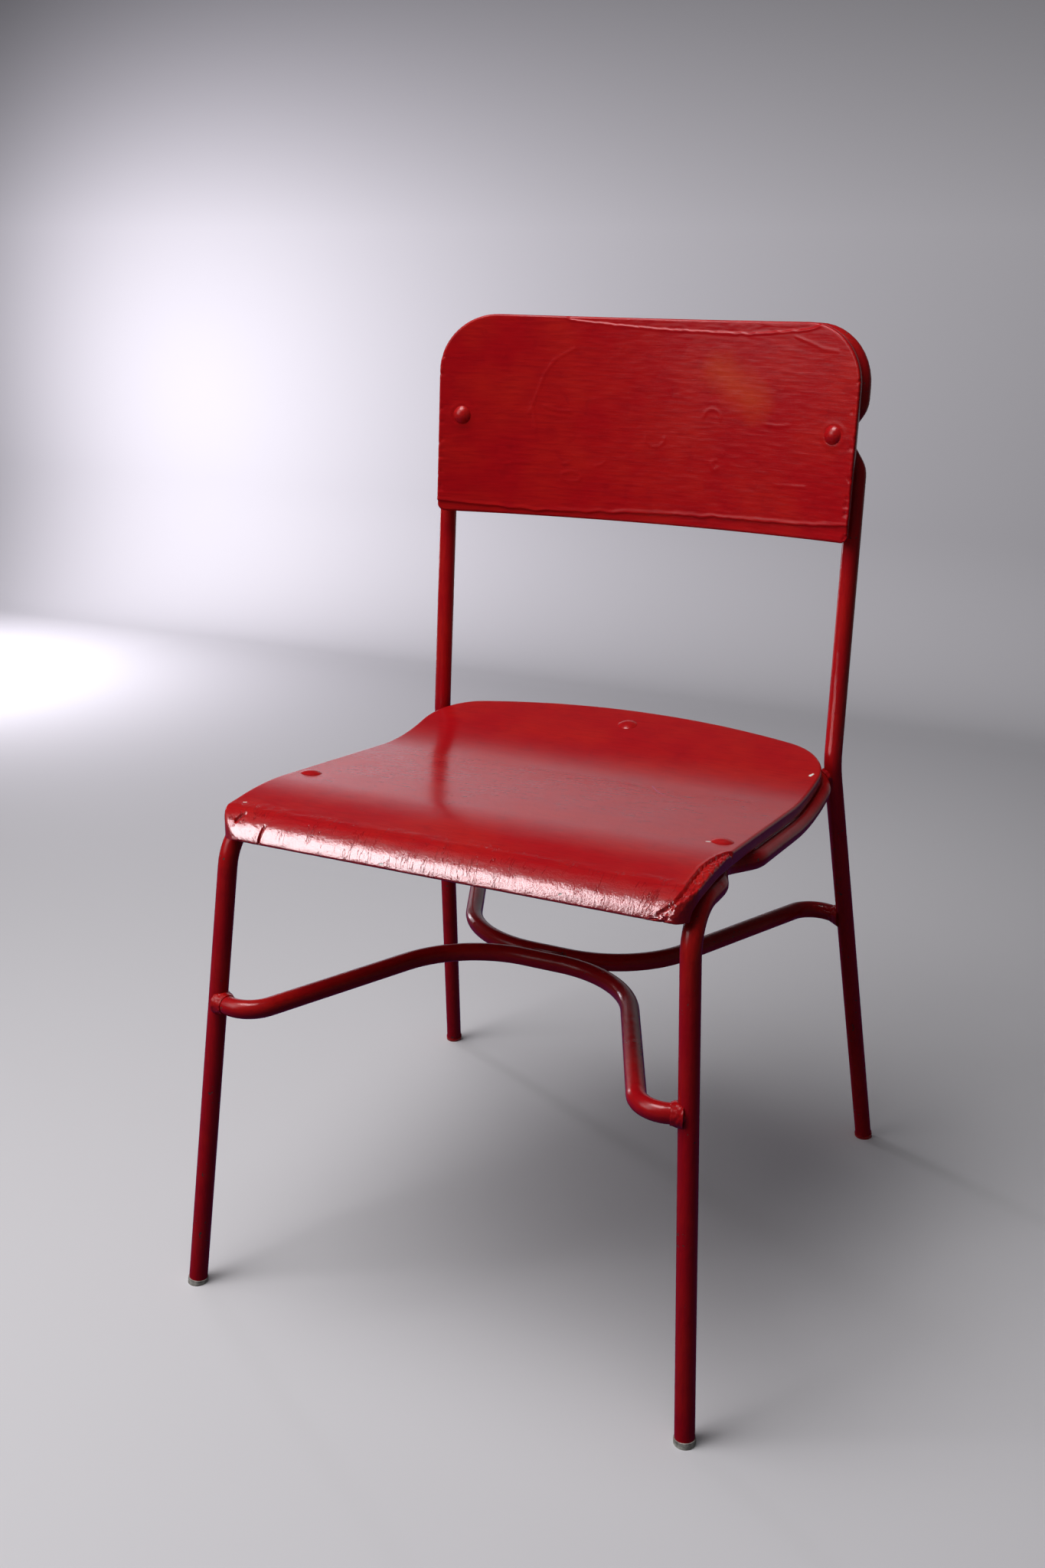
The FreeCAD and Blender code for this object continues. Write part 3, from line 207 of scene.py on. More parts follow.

# a dark purple sheet just above the floor that only shows in reflections: a painted dark reflection, so
# upright paint stays deep
REFLECTION_SHADE_COLOUR = (0.08, 0.03, 0.17, 1.0)
SHADE_SHEET_HALF = 1.9
SHADE_SHEET_LIFT = 0.004
shade_sheet_finish = Finish("studio_painted_reflection_shade")
shade_sheet_finish.surface(Base_Color=REFLECTION_SHADE_COLOUR, Roughness=1.0)
bm = bmesh.new()
bmesh.ops.create_grid(bm, x_segments=1, y_segments=1, size=SHADE_SHEET_HALF)
bmesh.ops.translate(bm, vec=(0, 0, SHADE_SHEET_LIFT), verts=bm.verts[:])
shade_sheet = piece_from(bm, "studio_reflection_shade_sheet", shade_sheet_finish)
shade_sheet.visible_camera = False
shade_sheet.visible_diffuse = False
shade_sheet.visible_shadow = False

ROOM_COLOUR = (0.9, 0.93, 1.0, 1.0)
ROOM_STRENGTH = 0.06
world = bpy.data.worlds.new("room")
bpy.context.scene.world = world
world.use_nodes = True
world.node_tree.nodes["Background"].inputs["Color"].default_value = ROOM_COLOUR
world.node_tree.nodes["Background"].inputs["Strength"].default_value = ROOM_STRENGTH
bpy.context.scene.view_settings.view_transform = "Standard"


def softbox(name, spot, aim, width, height, watts, colour, part="both"):
    """part is "light" for a lamp that no gloss shows, "shine" for one that only gloss shows."""
    light = bpy.data.lights.new(name, "AREA")
    light.shape = "RECTANGLE"
    light.size = width
    light.size_y = height
    light.energy = watts
    light.color = colour
    lamp = bpy.data.objects.new(name, light)
    lamp.location = spot
    lamp.rotation_euler = (Vector(aim) - Vector(spot)).to_track_quat("-Z", "Y").to_euler()
    lamp.visible_diffuse = part != "shine"
    lamp.visible_glossy = part != "light"
    bpy.context.scene.collection.objects.link(lamp)
    return lamp


WINDOW_SPOT = (-1.1, -1.3, 1.6)
WINDOW_AIM = (0.0, -0.1, 0.5)
softbox("window", WINDOW_SPOT, WINDOW_AIM, 1.05, 1.3, 18, (1.0, 0.98, 0.985), "light")
softbox("window_shine", WINDOW_SPOT, WINDOW_AIM, 1.05, 1.3, 34, (1.0, 0.97, 1.0), "shine")
softbox("lamp_above", (-0.45, -0.5, 2.4), (0.0, 0.0, 0.45), 1.3, 1.3, 32, (1.0, 0.99, 0.98), "light")
softbox("wall_wash", (-2.35, 1.15, 0.6), (-1.2, WALL_Y, 0.5), 0.5, 0.7, 22, (0.96, 0.92, 1.0))
SHINE_COLOUR = (1.0, 0.96, 1.0)
lip_shine = softbox(
    "lip_shine", (-1.0, -1.6, 0.78), (-0.05, -0.24, 0.44), 1.3, 1.45, 150, SHINE_COLOUR, "shine"
)
edge_shine = softbox(
    "edge_shine", (-0.4, -0.5, 2.3), (0.0, 0.1, 0.7), 0.9, 0.9, 34, (1.0, 0.97, 1.0), "shine"
)

AZIMUTH = 0.4361
ELEVATION = 0.3097
ROLL = 0.0177
CAMERA_SPOT = (0.5364, -1.2383, 0.8664)
SENSOR_MM = 36.0
LENS_MM = 35.65
ahead = Vector((
    -math.sin(AZIMUTH) * math.cos(ELEVATION),
    math.cos(AZIMUTH) * math.cos(ELEVATION),
    -math.sin(ELEVATION),
))
level = Vector((math.cos(AZIMUTH), math.sin(AZIMUTH), 0.0))
upward = level.cross(ahead)
across = math.cos(ROLL) * level + math.sin(ROLL) * upward
upright = math.cos(ROLL) * upward - math.sin(ROLL) * level
lens = bpy.data.cameras.new("camera")
lens.sensor_width = SENSOR_MM
lens.lens = LENS_MM
camera = bpy.data.objects.new("camera", lens)
turned = Matrix((across, upright, -ahead)).transposed().to_4x4()
camera.matrix_world = Matrix.Translation(CAMERA_SPOT) @ turned
bpy.context.scene.collection.objects.link(camera)
bpy.context.scene.camera = camera

# ---- Tube frames and stretchers ---------------------------------------------------------------
# Steel tube, bent cold: one tube is the front legs and seat rails, one the rear legs, uprights
# and top hoop, and two bows brace the legs. They were brush painted many times in place, so
# the enamel has runs, lumps and a few chips down to older coats.

RED = (0.4, 0.004, 0.0075)
DEEP_RED = (0.24, 0.0025, 0.007)
WARM_RED = (0.47, 0.012, 0.007)
OLD_COAT = (0.05, 0.04, 0.03)
PRIMER = (0.8, 0.76, 0.72)


class Enamel(Finish):
    """Brushed gloss enamel: a colour and a height in millimetres that later lines add to."""

    # sizes of what the brush and the years left, in millimetres
    STREAK = 2.2
    HAIR = 0.8
    PEEL = 4.5
    RUN = 15.0
    PATCH = 60.0
    NIB = 1.7
    CHIP = 3.2
    CHIPPED_AREA = 42.0
    PEEL_HEIGHT = 0.03
    NIB_HEIGHT = 0.04
    CHIP_DEPTH = 0.12
    SMOOTHEST = 0.15

    def __init__(self, name, brush, stroke, lumps, wear, seed):
        """brush is the stretch of the strokes, stroke and lumps their heights, wear the chips."""
        super().__init__(name)
        self.plain = self.place(shift=(seed * 37.0, seed * 11.0, seed * 5.0))
        brushed = self.place(brush, (seed * 7.0, seed * 3.0, seed * 13.0))
        streaks = self.noise(brushed, self.STREAK, 3.0, 0.6)
        hairs = self.noise(brushed, self.HAIR, 2.0, 0.5)
        peel = self.noise(self.plain, self.PEEL, 2.0, 0.5)
        runs = self.noise(self.plain, self.RUN, 2.0, 0.5, 0.6)
        broad = self.noise(self.plain, self.PATCH, 2.0)
        nibs = self.ramp(self.noise(self.plain, self.NIB, 1.0, 0.5), 0.71, 0.8)
        self.colour = self.mix(self.ramp(broad, 0.4, 0.68) * 0.6, RED, WARM_RED)
        self.tint(self.ramp(streaks, 0.42, 0.72) * 0.45, DEEP_RED)
        self.tint(self.ramp(runs, 0.42, 0.2) * 0.35, DEEP_RED)
        self.height = streaks * stroke + hairs * (stroke * 0.25) + peel * self.PEEL_HEIGHT
        self.height = self.height + runs * lumps + nibs * self.NIB_HEIGHT
        self.gloss = self.ramp(hairs, 0.2, 0.8) * 0.08 + self.ramp(broad, 0.3, 0.7) * 0.05 + self.SMOOTHEST
        chipped = self.ramp(self.noise(self.plain, self.CHIPPED_AREA, 1.0), 0.5, 0.62)
        chips = self.noise(self.plain, self.CHIP, 2.0, 0.5)
        self.chip(self.ramp(chips * chipped, 1.0 - wear, 1.01 - wear), OLD_COAT, self.CHIP_DEPTH)

    def tint(self, share, colour):
        self.colour = self.mix(share, self.colour, colour)

    def chip(self, share, colour, depth):
        """Paint broken away to an older coat, which is duller."""
        self.tint(share, colour)
        self.height = self.height - share * depth
        self.gloss = self.gloss + share * 0.3

    def apply(self, specular=0.3):
        self.surface(Base_Color=self.colour, Roughness=self.gloss)
        self.shader.inputs["IOR"].default_value = 1.5
        self.shader.inputs["Specular IOR Level"].default_value = specular
        self.relief(self.height)
        return self


def shines_on(lamp, pieces):
    """Let a lamp show in these pieces only."""
    lit = bpy.data.collections.new("lit_by_" + lamp.name)
    for piece in pieces:
        lit.objects.link(piece)
    lamp.light_linking.receiver_collection = lit


def dress(node_names, finish):
    """Give CAD nodes a finish."""
    for node_name in node_names:
        mesh = nodes[node_name].data
        mesh.materials.clear()
        mesh.materials.append(finish.material)


leg_paint = Enamel("leg_enamel", (1.0, 1.0, 9.0), 0.07, 0.4, 0.33, 1).apply(0.22)
dress(("seat_frame_tube", "back_frame_tube"), leg_paint)

bow_paint = Enamel("bow_enamel", (3.0, 3.0, 1.0), 0.06, 0.35, 0.33, 2).apply(0.3)
dress(("front_stretcher", "rear_stretcher"), bow_paint)

# ---- Weld beads -------------------------------------------------------------------------------
# Arc-welded beads where the bows meet the legs, where the two bows touch, and where the rails
# meet the rear legs. They are lumpy, and later coats of enamel have rounded them.

BEAD_RIPPLE = 0.55
BEAD_PITCH = 3.2
BEAD_SPLIT = 1.6
SAME_POINT = 0.01
bead_paint = Enamel("bead_enamel", (1.0, 1.0, 1.0), 0.05, 0.3, 0.2, 3).apply()


def worn_copy(node_name, ripple, pitch, split):
    """A node's own mesh, joined up, split finer and made uneven along its normals."""
    bm = bmesh.new()
    bm.from_mesh(nodes[node_name].data)
    bmesh.ops.scale(bm, vec=(1 / MM,) * 3, verts=bm.verts[:])
    bmesh.ops.remove_doubles(bm, verts=bm.verts[:], dist=SAME_POINT)
    bmesh.ops.recalc_face_normals(bm, faces=bm.faces[:])
    long = [edge for edge in bm.edges if edge.calc_length() > split]
    bmesh.ops.subdivide_edges(bm, edges=long, cuts=2, use_grid_fill=True)
    bmesh.ops.triangulate(bm, faces=bm.faces[:])
    bm.normal_update()
    moves = [(vert, vert.normal * ripple * noise.noise(vert.co / pitch)) for vert in bm.verts]
    for vert, move in moves:
        vert.co += move
    bmesh.ops.scale(bm, vec=(MM,) * 3, verts=bm.verts[:])
    return bm


for node_name in (
    "weld_front_left", "weld_front_right", "weld_rear_left", "weld_rear_right",
    "weld_stretcher_middle", "weld_rail_left", "weld_rail_right",
):
    uneven = worn_copy(node_name, BEAD_RIPPLE, BEAD_PITCH, BEAD_SPLIT)
    bead = piece_from(uneven, node_name + "_bead", bead_paint)
    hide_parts(node_name)
    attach(bead, "root")

# ---- Seat -------------------------------------------------------------------------------------
# Moulded plywood, 13 mm thick: a flat blank cut to outline, its edges rounded over, then pressed
# to a shallow hollow with a rolled front lip. The lip's right corner has lost part of its face
# veneer, two short checks are open at its left, and all of it is painted over.

SEAT_HALF = 208.0
SEAT_THICK = 13.0
SEAT_ARRIS = 2.6
SEAT_SIDE = ((-245.0, 426.0), (-245.0, 448.96), (-172.0, 455.77), (70.8, 433.11), (189.0, 460.07))
SEAT_BENDS = (24.0, 330.0, 285.0)
FRONT_CORNER = 22.0
REAR_CORNER = 58.0
REAR_ARC = 650.0
SQUEEZE_FROM = 160.0
CORNER_STEPS = 14
ARC_STEPS = 10
ROUND_STEPS = 4


def pressed_runs(corners, bends):
    """The side line as runs of (length, turn): straight runs joined by tangent bends."""
    headings = [math.atan2(b[1] - a[1], b[0] - a[0]) for a, b in zip(corners, corners[1:])]
    lengths = [math.dist(a, b) for a, b in zip(corners, corners[1:])]
    turns = [after - before for before, after in zip(headings, headings[1:])]
    setbacks = [radius * math.tan(abs(turn) / 2) for radius, turn in zip(bends, turns)]
    runs = []
    for place, length in enumerate(lengths):
        before = setbacks[place - 1] if place else 0.0
        after = setbacks[place] if place < len(setbacks) else 0.0
        runs.append((length - before - after, 0.0))
        if place < len(setbacks):
            runs.append((bends[place] * abs(turns[place]), turns[place]))
    return headings[0], runs


seat_heading, seat_runs = pressed_runs(SEAT_SIDE, SEAT_BENDS)
SEAT_LENGTH = sum(length for length, _ in seat_runs)
REAR_SLOPE_START = SEAT_LENGTH - seat_runs[-1][0]
REAR_SLOPE = seat_heading + sum(turn for _, turn in seat_runs)


def on_side(travel):
    """Place and heading in side view at a distance along the seat from its lower lip edge."""
    y, z = SEAT_SIDE[0]
    heading = seat_heading
    for number, (length, turn) in enumerate(seat_runs):
        last = number == len(seat_runs) - 1
        step = travel if last else min(travel, length)
        if turn:
            bend = turn / length
            ahead_by = heading + bend * step
            y += (math.sin(ahead_by) - math.sin(heading)) / bend
            z -= (math.cos(ahead_by) - math.cos(heading)) / bend
            heading = ahead_by
        else:
            y += math.cos(heading) * step
            z += math.sin(heading) * step
        travel -= step
        if travel <= 0:
            break
    return y, z, heading


def pressed(x, travel, height):
    """Where a point of the flat blank goes when the seat is pressed; the rear face stays upright."""
    if travel > REAR_SLOPE_START:
        share = (travel - REAR_SLOPE_START) / (SEAT_LENGTH - REAR_SLOPE_START)
        travel += height * math.tan(REAR_SLOPE) * share
    y, z, heading = on_side(travel)
    y -= math.sin(heading) * height
    z += math.cos(heading) * height
    ahead_of = SEAT_SIDE[0][0] + FRONT_CORNER - y
    if ahead_of > 0 and abs(x) > SQUEEZE_FROM:
        reach = FRONT_CORNER - math.sqrt(max(0.0, FRONT_CORNER ** 2 - ahead_of ** 2))
        share = (abs(x) - SQUEEZE_FROM) / (SEAT_HALF - SQUEEZE_FROM)
        x -= math.copysign(share * reach, x)
    return Vector((x, y, z))


def seat_outline():
    """The flat blank's outline, from its right front corner round the rear to its left one."""
    half = [(SEAT_HALF, 0.0)]
    centre_x = SEAT_HALF - REAR_CORNER
    arc_y = SEAT_SIDE[-1][0] - REAR_ARC
    centre_y = arc_y + math.sqrt((REAR_ARC - REAR_CORNER) ** 2 - centre_x ** 2)
    tangent_turn = math.atan2(centre_y - arc_y, centre_x)
    plan = [
        (centre_x + REAR_CORNER * math.cos(turn), centre_y + REAR_CORNER * math.sin(turn))
        for turn in (tangent_turn * step / CORNER_STEPS for step in range(CORNER_STEPS + 1))
    ]
    plan += [
        (REAR_ARC * math.cos(turn), arc_y + REAR_ARC * math.sin(turn))
        for turn in (
            tangent_turn + (math.pi / 2 - tangent_turn) * step / ARC_STEPS
            for step in range(1, ARC_STEPS + 1)
        )
    ]
    rear = SEAT_SIDE[-1][0]
    half += [(x, SEAT_LENGTH - (rear - y) / math.cos(REAR_SLOPE)) for x, y in plan]
    return half + [(-x, travel) for x, travel in half[::-1][1:]]


def rounded_blank(outline, thickness, arris, segments):
    """A flat blank, face up at height 0, with both its arrises rounded over."""
    bm = bmesh.new()
    face = bm.faces.new([bm.verts.new((x, y, 0.0)) for x, y in outline])
    face.normal_update()
    if face.normal.z < 0:
        face.normal_flip()
    under = bmesh.ops.extrude_face_region(bm, geom=[face])["geom"]
    under_verts = [item for item in under if isinstance(item, bmesh.types.BMVert)]
    bmesh.ops.translate(bm, vec=(0, 0, -thickness), verts=under_verts)
    bmesh.ops.recalc_face_normals(bm, faces=bm.faces[:])
    rims = [edge for edge in bm.edges if abs(edge.verts[0].co.z - edge.verts[1].co.z) < 1e-6]
    bmesh.ops.bevel(
        bm, geom=rims, offset=arris, segments=segments, affect="EDGES", profile=0.5, material=-1
    )
    return bm


def cut_across(bm, axis, places):
    """Straight cuts right through a blank, square to an axis."""
    normal = Vector((0, 0, 0))
    normal[axis] = 1.0
    for place in places:
        bmesh.ops.bisect_plane(
            bm, geom=bm.verts[:] + bm.edges[:] + bm.faces[:], dist=0.001, plane_co=normal * place,
            plane_no=normal,
        )


def spread(*stretches):
    """Places along a line: each stretch is its start, its end and the step in it."""
    places = []
    for low, high, step in stretches:
        count = max(1, round((high - low) / step))
        places += [low + (high - low) * number / count for number in range(count)]
    return places


def lay_out(bm):
    """Keep each corner's place on the flat blank, for strokes and marks."""
    layer = bm.loops.layers.uv.new("blank")
    for face in bm.faces:
        for loop in face.loops:
            loop[layer].uv = loop.vert.co.xy


def smooth_step(value, low, high):
    share = min(1.0, max(0.0, (value - low) / (high - low)))
    return share * share * (3 - 2 * share)


def along_line(points, x):
    """Height of a drawn line at x, between its points."""
    for (x1, y1), (x2, y2) in zip(points, points[1:]):
        if x <= x2:
            return y1 + (y2 - y1) * max(0.0, (x - x1)) / (x2 - x1)
    return points[-1][1]


def to_segment(x, y, start, end):
    """Distance from a point to a short straight line."""
    run = Vector(end) - Vector(start)
    share = min(1.0, max(0.0, (Vector((x, y)) - Vector(start)).dot(run) / run.length_squared))
    return (Vector((x, y)) - Vector(start) - run * share).length


# inner border of the lost veneer at the right front corner: travel along the seat, then x
LOST_BORDER = (
    (0.0, 190.0), (6.0, 194.0), (17.0, 200.0), (28.0, 199.0), (38.0, 198.0), (69.0, 197.4),
    (93.0, 200.5), (108.0, 204.0), (118.0, 210.0),
)
LOST_FROM_X = 175
LOST_TO_TRAVEL = 130
LOST_DEPTH = 0.9
LOST_LUMPS = 1.3
GROOVE_DEPTH = 3.4
CHECKS = (((-195.5, 17.5), (-185.5, 26.0)), ((-167.5, 2.5), (-161.5, 17.0)))
CHECK_DEPTH = 2.6
BROAD_WAVES = 0.10
LIP_DENTS = 0.32
LIP_CRUMBS = 0.12


def seat_wear(x, travel):
    """Height of the worn top face over the pressed one."""
    change = BROAD_WAVES * noise.noise(Vector((x / 34, travel / 50, 3.0)))
    lip = 1 - smooth_step(travel, 30.0, 56.0)
    change += lip * LIP_DENTS * noise.noise(Vector((x / 9, travel / 7, 8.0)))
    change += lip * LIP_CRUMBS * noise.noise(Vector((x / 2.6, travel / 3.4, 9.0)))
    if x > LOST_FROM_X and travel < LOST_TO_TRAVEL:
        border = along_line(LOST_BORDER, travel) + 0.9 * noise.noise(Vector((travel / 5, 1.0, 0.0)))
        lost = smooth_step(x, border - 0.4, border + 0.5)
        groove = lost * (1 - smooth_step(x, border + 0.9, border + 2.0))
        lumps = LOST_LUMPS * noise.fractal(Vector((x / 2.4, travel / 2.8, 5.0)), 0.7, 2.1, 4)
        lifted = smooth_step(x, border - 4.0, border - 0.4) * (1 - lost)
        change += lost * (lumps - LOST_DEPTH) - groove * GROOVE_DEPTH + lifted * 0.35
    if x < -150 and travel < 40:
        for start, end in CHECKS:
            change -= CHECK_DEPTH * (1 - smooth_step(to_segment(x, travel, start, end), 0.5, 1.3))
    return change


bm = rounded_blank(seat_outline(), SEAT_THICK, SEAT_ARRIS, ROUND_STEPS)
cut_across(bm, 2, [-3.6, -5.4, -7.2, -9.0])
cut_across(bm, 0, spread((-207.0, -150.0, 1.1), (-150.0, 176.0, 4.6), (176.0, 207.6, 0.75)))
cut_across(bm, 1, spread((0.6, 42.0, 1.1), (42.0, 122.0, 1.35), (122.0, SEAT_LENGTH - 1.0, 4.6)))
lay_out(bm)
for vert in bm.verts:
    top_share = smooth_step(vert.co.z, -SEAT_THICK * 0.6, -0.5)
    height = vert.co.z + seat_wear(vert.co.x, vert.co.y) * top_share
    vert.co = pressed(vert.co.x, vert.co.y, height)
bmesh.ops.scale(bm, vec=(MM,) * 3, verts=bm.verts[:])
bmesh.ops.recalc_face_normals(bm, faces=bm.faces[:])

LIP_STARTS = 46.0
LIP_FULL = 26.0
CRACK_DEPTH = 0.3
CRUMB_HEIGHT = 0.32
SCUFF = (0.4, 0.1, 0.3)
# lines along the flat blank where the paint is chipped to primer, and each chip's half width
PRIMER_CHIPS = (
    (((181.5, 130.5), (183.0, 131.5)), 2.0),
    (((199.5, 372.0), (201.0, 376.0)), 2.0),
    (((-49.5, 4.6), (-47.5, 4.8)), 1.7),
    (((105.0, 7.0), (106.5, 8.0)), 1.4),
    (((-196.0, 41.0), (-194.5, 42.0)), 1.5),
)
seat_paint = Enamel("seat_enamel", (9.0, 1.0, 1.0), 0.022, 0.1, 0.0, 4)
seat_map = seat_paint.drawn()
seat_travel = seat_paint.node("ShaderNodeSeparateXYZ", {}, {0: seat_map}, 1)
on_lip = seat_paint.ramp(seat_travel, LIP_STARTS, LIP_FULL)
grain = seat_paint.node("ShaderNodeMapping", {}, {"Vector": seat_map, "Scale": (1.0, 0.16, 1.0)})
contour = abs(seat_paint.noise(grain, 7.0, 3.0, 0.6) - 0.5)
cracked = seat_paint.ramp(seat_paint.noise(seat_paint.plain, 12.0, 1.0), 0.45, 0.6)
crack = seat_paint.ramp(contour, 0.012, 0.003) * on_lip * cracked
seat_paint.tint(crack * 0.7, DEEP_RED)
crumbs = seat_paint.noise(seat_paint.plain, 2.4, 3.0, 0.65)
seat_paint.height = seat_paint.height - crack * CRACK_DEPTH + crumbs * on_lip * CRUMB_HEIGHT
ragged = seat_paint.noise(seat_paint.plain, 1.5, 2.0) * 1.6
for spot, size in PRIMER_CHIPS:
    gap = seat_paint.near(seat_map, spot) + ragged
    seat_paint.chip(seat_paint.ramp(gap, size + 0.2, size - 0.2), PRIMER, 0.15)
scuff = seat_paint.near(seat_map, ((76.0, 289.0), (87.0, 272.0), (98.0, 261.0)))
seat_paint.tint(seat_paint.ramp(scuff, 0.9, 0.3) * 0.35, SCUFF)
seat_paint.apply(0.45)
seat = piece_from(bm, "seat", seat_paint)
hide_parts("seat_panel")
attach(seat, "root")
shines_on(lip_shine, [seat])

# ---- Back panel -------------------------------------------------------------------------------
# Moulded plywood, 9 mm thick and hollow towards the sitter, riveted to the uprights. A long
# sliver of face veneer is gone from the top edge and the lowest band has sunk along a crack;
# both were painted over.

PANEL_HALF = 208.0
PANEL_TALL = 190.5
PANEL_THICK = 9.0
PANEL_HOLLOW = 620.0
PANEL_ARRIS = 2.4
TOP_CORNER = 55.0
BOTTOM_CORNER = 7.0
PANEL_CENTRE_Y = -608.52
PANEL_LOW = 210.0
WAIST = Vector((0.0, 157.3, 441.0))
LEAN = math.radians(2.63)
SLIVER = (
    (-90.0, 191.0), (-83.0, 187.4), (-41.0, 184.2), (5.0, 181.4), (51.0, 180.2), (96.0, 179.3),
    (141.0, 182.9), (158.0, 185.0), (170.0, 191.0),
)
SLIVER_DEPTH = 1.0
SUNK = (
    (-208.0, 10.0), (-170.0, 7.5), (-110.0, 4.8), (-63.0, 6.2), (8.0, 9.4), (95.0, 11.4),
    (157.0, 11.6), (208.0, 15.5),
)
SUNK_DEPTH = 1.2
CRACK_LIP = 0.45
NICK_DEPTH = 2.2
RIVETS_UP = 94.1
RIVET_X = 186.0
RING_HEIGHT = 0.28


def panel_outline():
    """The panel seen square on, bottom edge at 0, anticlockwise."""
    corners = (
        (PANEL_HALF - BOTTOM_CORNER, BOTTOM_CORNER, BOTTOM_CORNER, -90, 6),
        (PANEL_HALF - TOP_CORNER, PANEL_TALL - TOP_CORNER, TOP_CORNER, 0, 18),
        (TOP_CORNER - PANEL_HALF, PANEL_TALL - TOP_CORNER, TOP_CORNER, 90, 18),
        (BOTTOM_CORNER - PANEL_HALF, BOTTOM_CORNER, BOTTOM_CORNER, 180, 6),
    )
    points = []
    for x, up, radius, start, steps in corners:
        for step in range(steps + 1):
            turn = math.radians(start + 90 * step / steps)
            points.append((x + radius * math.cos(turn), up + radius * math.sin(turn)))
    return points


def curl(x, up, half_width, half_height, start, end):
    """Points of part of a drawn ring."""
    turns = [math.radians(start + (end - start) * step / 7) for step in range(8)]
    return [(x + half_width * math.cos(turn), up + half_height * math.sin(turn)) for turn in turns]


RIDGES = (
    ((-77.0, 161.0), (-97.0, 150.0), (-107.0, 135.0), (-116.0, 109.5), (-121.0, 98.0)),
    ((-118.0, 109.0), (-113.0, 84.0)),
    ((-105.0, 106.0), (-92.0, 102.0), (-79.0, 102.0)),
    ((142.0, 177.5), (157.0, 172.6), (167.5, 168.3), (184.0, 166.0)),
    ((-141.0, 49.0), (-134.0, 51.5), (-118.0, 51.0)),
    ((-84.0, 51.5), (-78.0, 54.0)),
    ((-52.0, 51.5), (-46.0, 53.0), (-42.0, 56.0)),
    ((119.0, 99.5), (130.0, 99.0), (141.0, 100.0)),
    ((131.0, 46.0), (162.0, 46.5)),
    curl(-76.0, 40.0, 10.5, 5.5, 0, 360),
    curl(7.5, 82.0, 10.0, 9.0, 180, 360),
    curl(64.0, 101.0, 9.0, 10.0, 0, 170),
    curl(70.0, 60.0, 3.5, 5.0, 60, 330),
)
RIDGE_REACH = 2.6
RIDGE_HEIGHT = 0.3


def box_of(points):
    """The upright box round a drawn line, with room for its ridge."""
    xs, ups = zip(*points)
    return min(xs) - RIDGE_REACH, max(xs) + RIDGE_REACH, min(ups) - RIDGE_REACH, max(ups) + RIDGE_REACH


BOXED_RIDGES = [(box_of(points), points) for points in RIDGES]


def drawn_ridges(x, up):
    """Height of the scratches, curls and runs that stand up in the paint."""
    height = 0.0
    for (left, right, low, high), points in BOXED_RIDGES:
        if left < x < right and low < up < high:
            gap = min(to_segment(x, up, *ends) for ends in zip(points, points[1:]))
            height = max(height, RIDGE_HEIGHT * (1 - smooth_step(gap, 0.2, RIDGE_REACH / 1.4)))
    return height


def panel_wear(x, up):
    """Height of the worn front face over the pressed one."""
    change = 0.09 * noise.noise(Vector((x / 38, up / 30, 11.0))) + drawn_ridges(x, up)
    change += 0.11 * noise.noise(Vector((x / 16, up / 3.2, 17.0)))
    border = along_line(SLIVER, x) + 0.9 * noise.noise(Vector((x / 7, 2.0, 0.0)))
    if -90 < x < 170 and up > 172:
        gone = smooth_step(up, border - 0.3, border + 0.7)
        lifted = smooth_step(up, border - 3.0, border - 0.2) * (1 - gone)
        rough = 0.14 * noise.noise(Vector((x / 9, up / 2.5, 0.0)))
        change += gone * (rough - SLIVER_DEPTH) + lifted * 0.4
    crack = along_line(SUNK, x) + 1.2 * noise.noise(Vector((x / 13, 6.0, 0.0)))
    sunk = 1 - smooth_step(up, crack - 0.6, crack + 0.5)
    lifted = smooth_step(up, crack, crack + 0.8) * (1 - smooth_step(up, crack + 0.8, crack + 5.0))
    change += -SUNK_DEPTH * sunk + CRACK_LIP * lifted
    side = PANEL_HALF - abs(x)
    if side < 9:
        nick = max(0.0, noise.noise(Vector((up / 4.5, side / 6, 20.0 + math.copysign(4, x)))) - 0.12)
        change -= NICK_DEPTH * nick * (1 - smooth_step(side, 3.0, 8.0))
    reach = math.hypot(abs(x) - RIVET_X, up - RIVETS_UP)
    if reach < 16:
        change += RING_HEIGHT * smooth_step(reach, 8.0, 9.6) * (1 - smooth_step(reach, 9.6, 14.0))
    return change


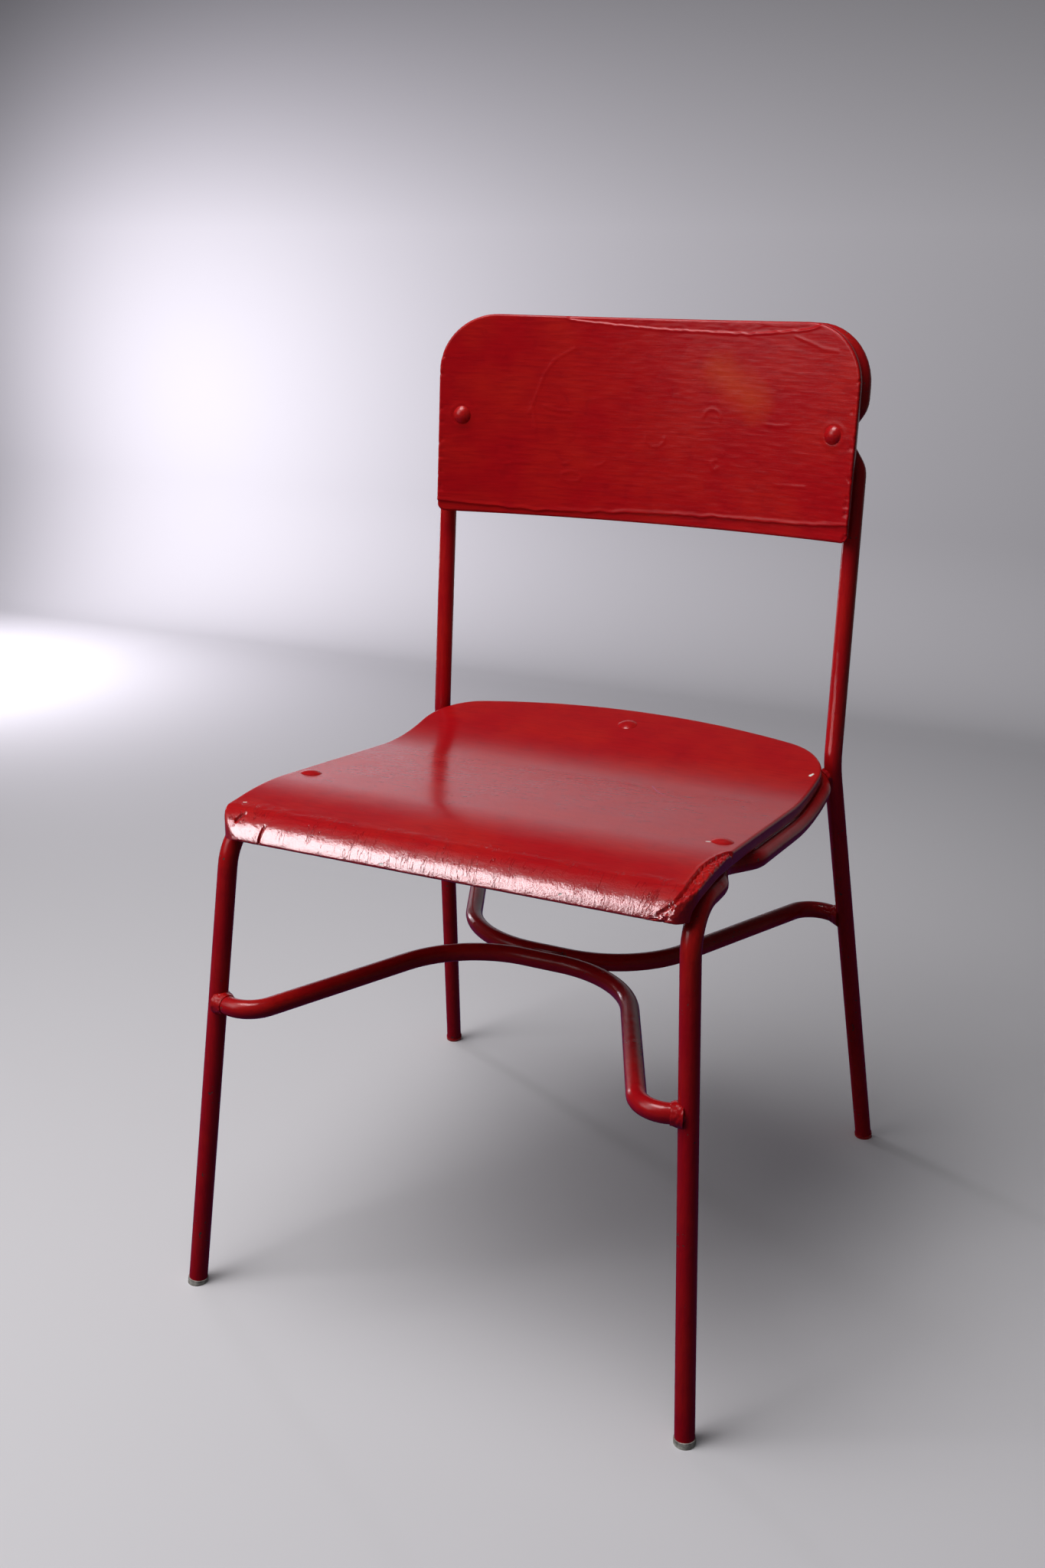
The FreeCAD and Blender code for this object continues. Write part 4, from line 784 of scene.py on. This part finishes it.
bm = rounded_blank(panel_outline(), PANEL_THICK, PANEL_ARRIS, ROUND_STEPS)
cut_across(bm, 2, [-3.5, -5.5])
cut_across(bm, 0, spread((-207.0, 208.0, 1.45)))
cut_across(bm, 1, spread((0.6, 20.0, 0.8), (20.0, 174.0, 1.45), (174.0, 190.4, 0.8)))
lay_out(bm)
back_turn = Matrix.Rotation(-LEAN, 4, "X")
for vert in bm.verts:
    x, up, height = vert.co
    front_share = smooth_step(height, -PANEL_THICK * 0.7, -0.5)
    height += panel_wear(x, up) * front_share
    y = PANEL_CENTRE_Y + math.sqrt((PANEL_HOLLOW - height) ** 2 - x ** 2)
    vert.co = WAIST + back_turn @ Vector((x, y, PANEL_LOW + up))
bmesh.ops.scale(bm, vec=(MM,) * 3, verts=bm.verts[:])
bmesh.ops.recalc_face_normals(bm, faces=bm.faces[:])

PAINTED_SHEEN_ORANGE = (0.56, 0.06, 0.012)
panel_paint = Enamel("panel_enamel", (12.0, 12.0, 1.0), 0.1, 0.2, 0.0, 5)
# painted sheen: a warm orange patch tinted into the paint, high and right of centre, for warm light on the
# back
ragged = panel_paint.noise(panel_paint.plain, 9.0, 2.0) * 16.0
painted_sheen_reach = panel_paint.near(panel_paint.drawn(), ((69.0, 146.0), (86.0, 134.0), (105.0, 119.0))) + ragged
panel_paint.tint(panel_paint.ramp(painted_sheen_reach, 32.0, 7.0) * 0.5, PAINTED_SHEEN_ORANGE)
panel_paint.apply(0.14)
panel = piece_from(bm, "back", panel_paint)
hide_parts("back_panel")
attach(panel, "root")

# ---- Rivets and washers -----------------------------------------------------------------------
# Domed steel rivets through wood and tube, closed over washers. Paint has rounded their rims.

rivet_paint = Enamel("rivet_enamel", (1.0, 1.0, 1.0), 0.02, 0.1, 0.15, 6).apply()
dress([name for name in nodes if "rivet" in name or "washer" in name], rivet_paint)

# ---- Glides -----------------------------------------------------------------------------------
# Moulded plugs pushed into the feet. The front ones are worn off-white; the rear ones carry
# paint.

GLIDE_DIRT = (0.22, 0.21, 0.19)
GLIDE_PLASTIC = (0.6, 0.58, 0.53)
glide_front = Finish("glide_worn")
ground = glide_front.place()
smudge = glide_front.noise(ground, 5.0, 3.0)
clean = glide_front.ramp(smudge, 0.35, 0.65)
glide_front.surface(Base_Color=glide_front.mix(clean, GLIDE_DIRT, GLIDE_PLASTIC), Roughness=0.6)
glide_front.relief(smudge * 0.3)
dress(("glide_front_left", "glide_front_right"), glide_front)
glide_rear = Enamel("glide_painted", (1.0, 1.0, 1.0), 0.02, 0.1, 0.3, 7).apply()
dress(("glide_rear_left", "glide_rear_right"), glide_rear)

# ---- What each shine falls on -----------------------------------------------------------------
# The lamp above shows in the back, the tubes and the rivets, but not in the seat, which has its
# own.

shines_on(edge_shine, [panel] + [
    nodes[name] for name in nodes if "tube" in name or "rivet" in name or name.endswith("stretcher")
])
